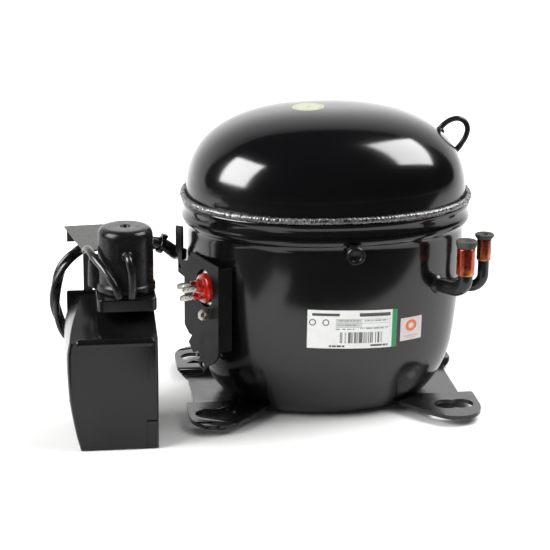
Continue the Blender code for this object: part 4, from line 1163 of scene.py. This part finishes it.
def make_boot():
    """Rubber boot over the capacitor, with its gland, terminal lobe and collar, and the two leads."""
    x, y = BOOT_CENTRE
    z0, z1 = BOOT_Z
    r = BOOT_RADIUS
    profile = [(0.05, z0), (r + 0.8, z0), (r + 1.2, z0 + 0.6), (r + 1.2, z0 + 4.6), (r + 0.6, z0 + 5.6),
               (r - 0.1, z0 + 6.4), (r - 0.1, z0 + 18), (r - 0.2, z1 - 9), (r - 0.5, z1 - 4.6), (r - 1.3, z1 - 2.4),
               (r - 2.7, z1 - 0.8), (r - 5, z1), (4.2, z1), (3.4, z1 - 0.5), (2.9, z1 - 1.6), (0.05, z1 - 1.8)]
    boot = raw("capacitor_boot_fine", turned(eased(profile, 1.4, 4), 96, (x, y)))
    gland = turned(eased([(0.05, 0), (4.6, 0), (4.4, 5.2), (3.3, 6.4), (0.05, 6.5)], 0.9, 3), 36,
                   matrix=Matrix.Translation((x + 0.2, y - 15, 135.2)) @ FORWARD)
    lobe_profile = [(0.05, z0 + 0.5), (6.0, z0 + 0.5), (6.5, z0 + 1.6), (6.4, z0 + 14), (6.0, z0 + 20),
                    (4.6, z0 + 23), (2.0, z0 + 24.4), (0.05, z0 + 24.6)]
    lobe = turned(eased(lobe_profile, 1.6, 3), 40, (x - 20.4, y + 6.0))
    combine(boot, [gland, lobe], "UNION")
    hollow = [(0.05, z0 - 2), (r - 2.5, z0 - 2), (r - 2.5, z1 - 6), (0.05, z1 - 6)]
    combine(boot, [turned(hollow, 64, (x, y))], "DIFFERENCE")
    finish(boot, "boot_black", sharp=45)

    for name, points in LEAD_ROUTES.items():
        bm = round_bar(smooth_route(points, 1.2), LEAD_RADIUS, 28)
        piece(name + FINE, bm, "sleeving", sharp=60)


# ---------------------------------------------------------------- inside

INSIDE = {
    "lamination": "stator_core rotor",
    "winding": "winding_lower winding_upper",
    "bright_steel": "crankshaft oil_pickup oil_gallery_plug slider_block valve_plate suction_reed discharge_reed",
    "aluminium": "piston_yoke capacitor_can",
    "cast_iron": "cylinder_block cylinder_head",
    "gasket": "head_gasket",
    "ivory": "suction_muffler start_relay terminal_strip cluster_block",
    "zinc_steel": "discharge_muffler",
    "inner_copper": "discharge_loop",
    "rubber": "overload_protector",
    "sleeving": "motor_leads",
}


def make_springs():
    """Suspension springs copied from their CAD nodes, each with a mesh of its own; the real springs shorten as the
    pump sinks on them.
    """
    for i in range(1, 5):
        node = "suspension_spring_%d" % i
        item = piece(node + FINE, copy_of(node), "bright_steel", sharp=60)
        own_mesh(item)


def dress_inside():
    """Give each carried-over CAD node its material."""
    for look, nodes in INSIDE.items():
        for node in nodes.split():
            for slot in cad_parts[node].material_slots:
                slot.material = looks[look]


# ---------------------------------------------------------------- everything

def make_looks():
    """Every material of the object."""
    shell_black()
    plate_black()
    rating_label()
    small_label()
    dome_sticker()
    lamination()
    winding()
    # Rippled weld under gloss black paint; its colour turns lighter where the ripples stand highest, a painted
    # highlight on their crests
    surface("weld_metal", (0.01, 0.01, 0.01), 0.12, (2.2, 4, 0.6), (0.006, 0.006, 0.006), (0.16, 0.16, 0.155),
            (0.9, 3), 0.16, 0.34, [((2.2, 4, 0.6), 0.8), ((0.8, 3), 0.25)], (0.42, 0.7),
            IOR=1.6, Coat_Weight=1.0, Coat_Roughness=0.1)
    # Gloss moulded plastic, slightly wavy, with a faint grain
    surface("moulded_black", (0.005, 0.005, 0.005), 0.16, (22, 3), (0.004, 0.004, 0.004),
            (0.009, 0.0088, 0.0086), (22, 3), 0.13, 0.21, [((0.55, 2), 0.003), ((30, 2), 0.05)], IOR=1.38)
    # Satin black paint on the terminal side's bracket, dull and a little dusty
    surface("fence_black", (0.004, 0.004, 0.004), 0.4, (9, 4), (0.003, 0.003, 0.003), (0.008, 0.008, 0.0077),
            (9, 4), 0.3, 0.45, [((5, 3), 0.05)], (0.35, 0.75), IOR=1.13)
    # Smooth, slightly oily moulded rubber
    surface("boot_black", (0.005, 0.005, 0.0048), 0.24, (12, 3), (0.004, 0.004, 0.0038),
            (0.009, 0.0088, 0.0084), (5, 4), 0.18, 0.32, [((0.8, 3), 0.01)], IOR=1.28)
    # Matt grey-black rubber with bloom and a grainy skin
    surface("rubber", (0.045, 0.045, 0.042), 0.7, (3.5, 4, 0.6), (0.018, 0.019, 0.0175), (0.046, 0.048, 0.044),
            (2, 3), 0.58, 0.82, [((0.5, 3), 0.05)], (0.35, 0.7))
    # Glossy red epoxy with flow lines
    surface("insulator_red", (0.5, 0.008, 0.006), 0.16, (3.0, 4, 0.6), (0.5, 0.006, 0.004), (0.82, 0.03, 0.014),
            (1.4, 3), 0.12, 0.3, [((1.6, 3), 0.07)], (0.3, 0.72), Coat_Weight=0.6, Coat_Roughness=0.06)
    # Sand-cast grey iron
    surface("cast_iron", (0.13, 0.13, 0.135), 0.6, (14, 3), (0.09, 0.09, 0.095), (0.17, 0.165, 0.16),
            (1.1, 4, 0.65), 0.5, 0.72, [((1.1, 4, 0.65), 0.25)], metallic=0.6)
    # Glossy black cable covering with a faint weave
    surface("sleeving", (0.008, 0.008, 0.008), 0.26, (6, 3), (0.005, 0.005, 0.005), (0.012, 0.012, 0.0116),
            (6, 3), 0.18, 0.34, [((0.7, 2), 0.03)], IOR=1.45)
    bare_metal("tin", (0.4, 0.38, 0.34), (0.72, 0.7, 0.64), 0.14, 0.34, 0.8, 0.02)
    bare_metal("zinc_steel", (0.014, 0.014, 0.0133), (0.03, 0.0295, 0.028), 0.36, 0.5, 1.4, 0.02, 0.3)
    bare_metal("bright_steel", (0.42, 0.42, 0.43), (0.62, 0.62, 0.63), 0.16, 0.32, 0.6, 0.015, 1.0, (1, 1, 5))
    bare_metal("aluminium", (0.5, 0.51, 0.52), (0.7, 0.71, 0.72), 0.24, 0.42, 0.8, 0.03, 1.0, (1, 1, 4))
    bare_metal("inner_copper", (0.42, 0.12, 0.05), (0.7, 0.25, 0.11), 0.2, 0.36, 1.2, 0.02)
    copper("suction_copper", (0.16, 0.008, 0.004), (0.5, 0.075, 0.03))
    copper("discharge_copper", (0.08, 0.012, 0.006), (0.4, 0.09, 0.04))
    plain_moulding("ivory", (0.68, 0.65, 0.56), (0.76, 0.73, 0.64), 0.36, 0.52, 0.9, 0.02)
    plain_moulding("gasket", (0.2, 0.19, 0.17), (0.32, 0.3, 0.27), 0.7, 0.9, 0.7, 0.06)


place_camera()
make_looks()
make_harness()
make_shell()
make_labels()
make_foot("foot_left", -1)
make_foot("foot_right", 1)
make_tubes()
make_terminal()
make_box()
make_boot()
make_springs()
dress_inside()
make_studio()
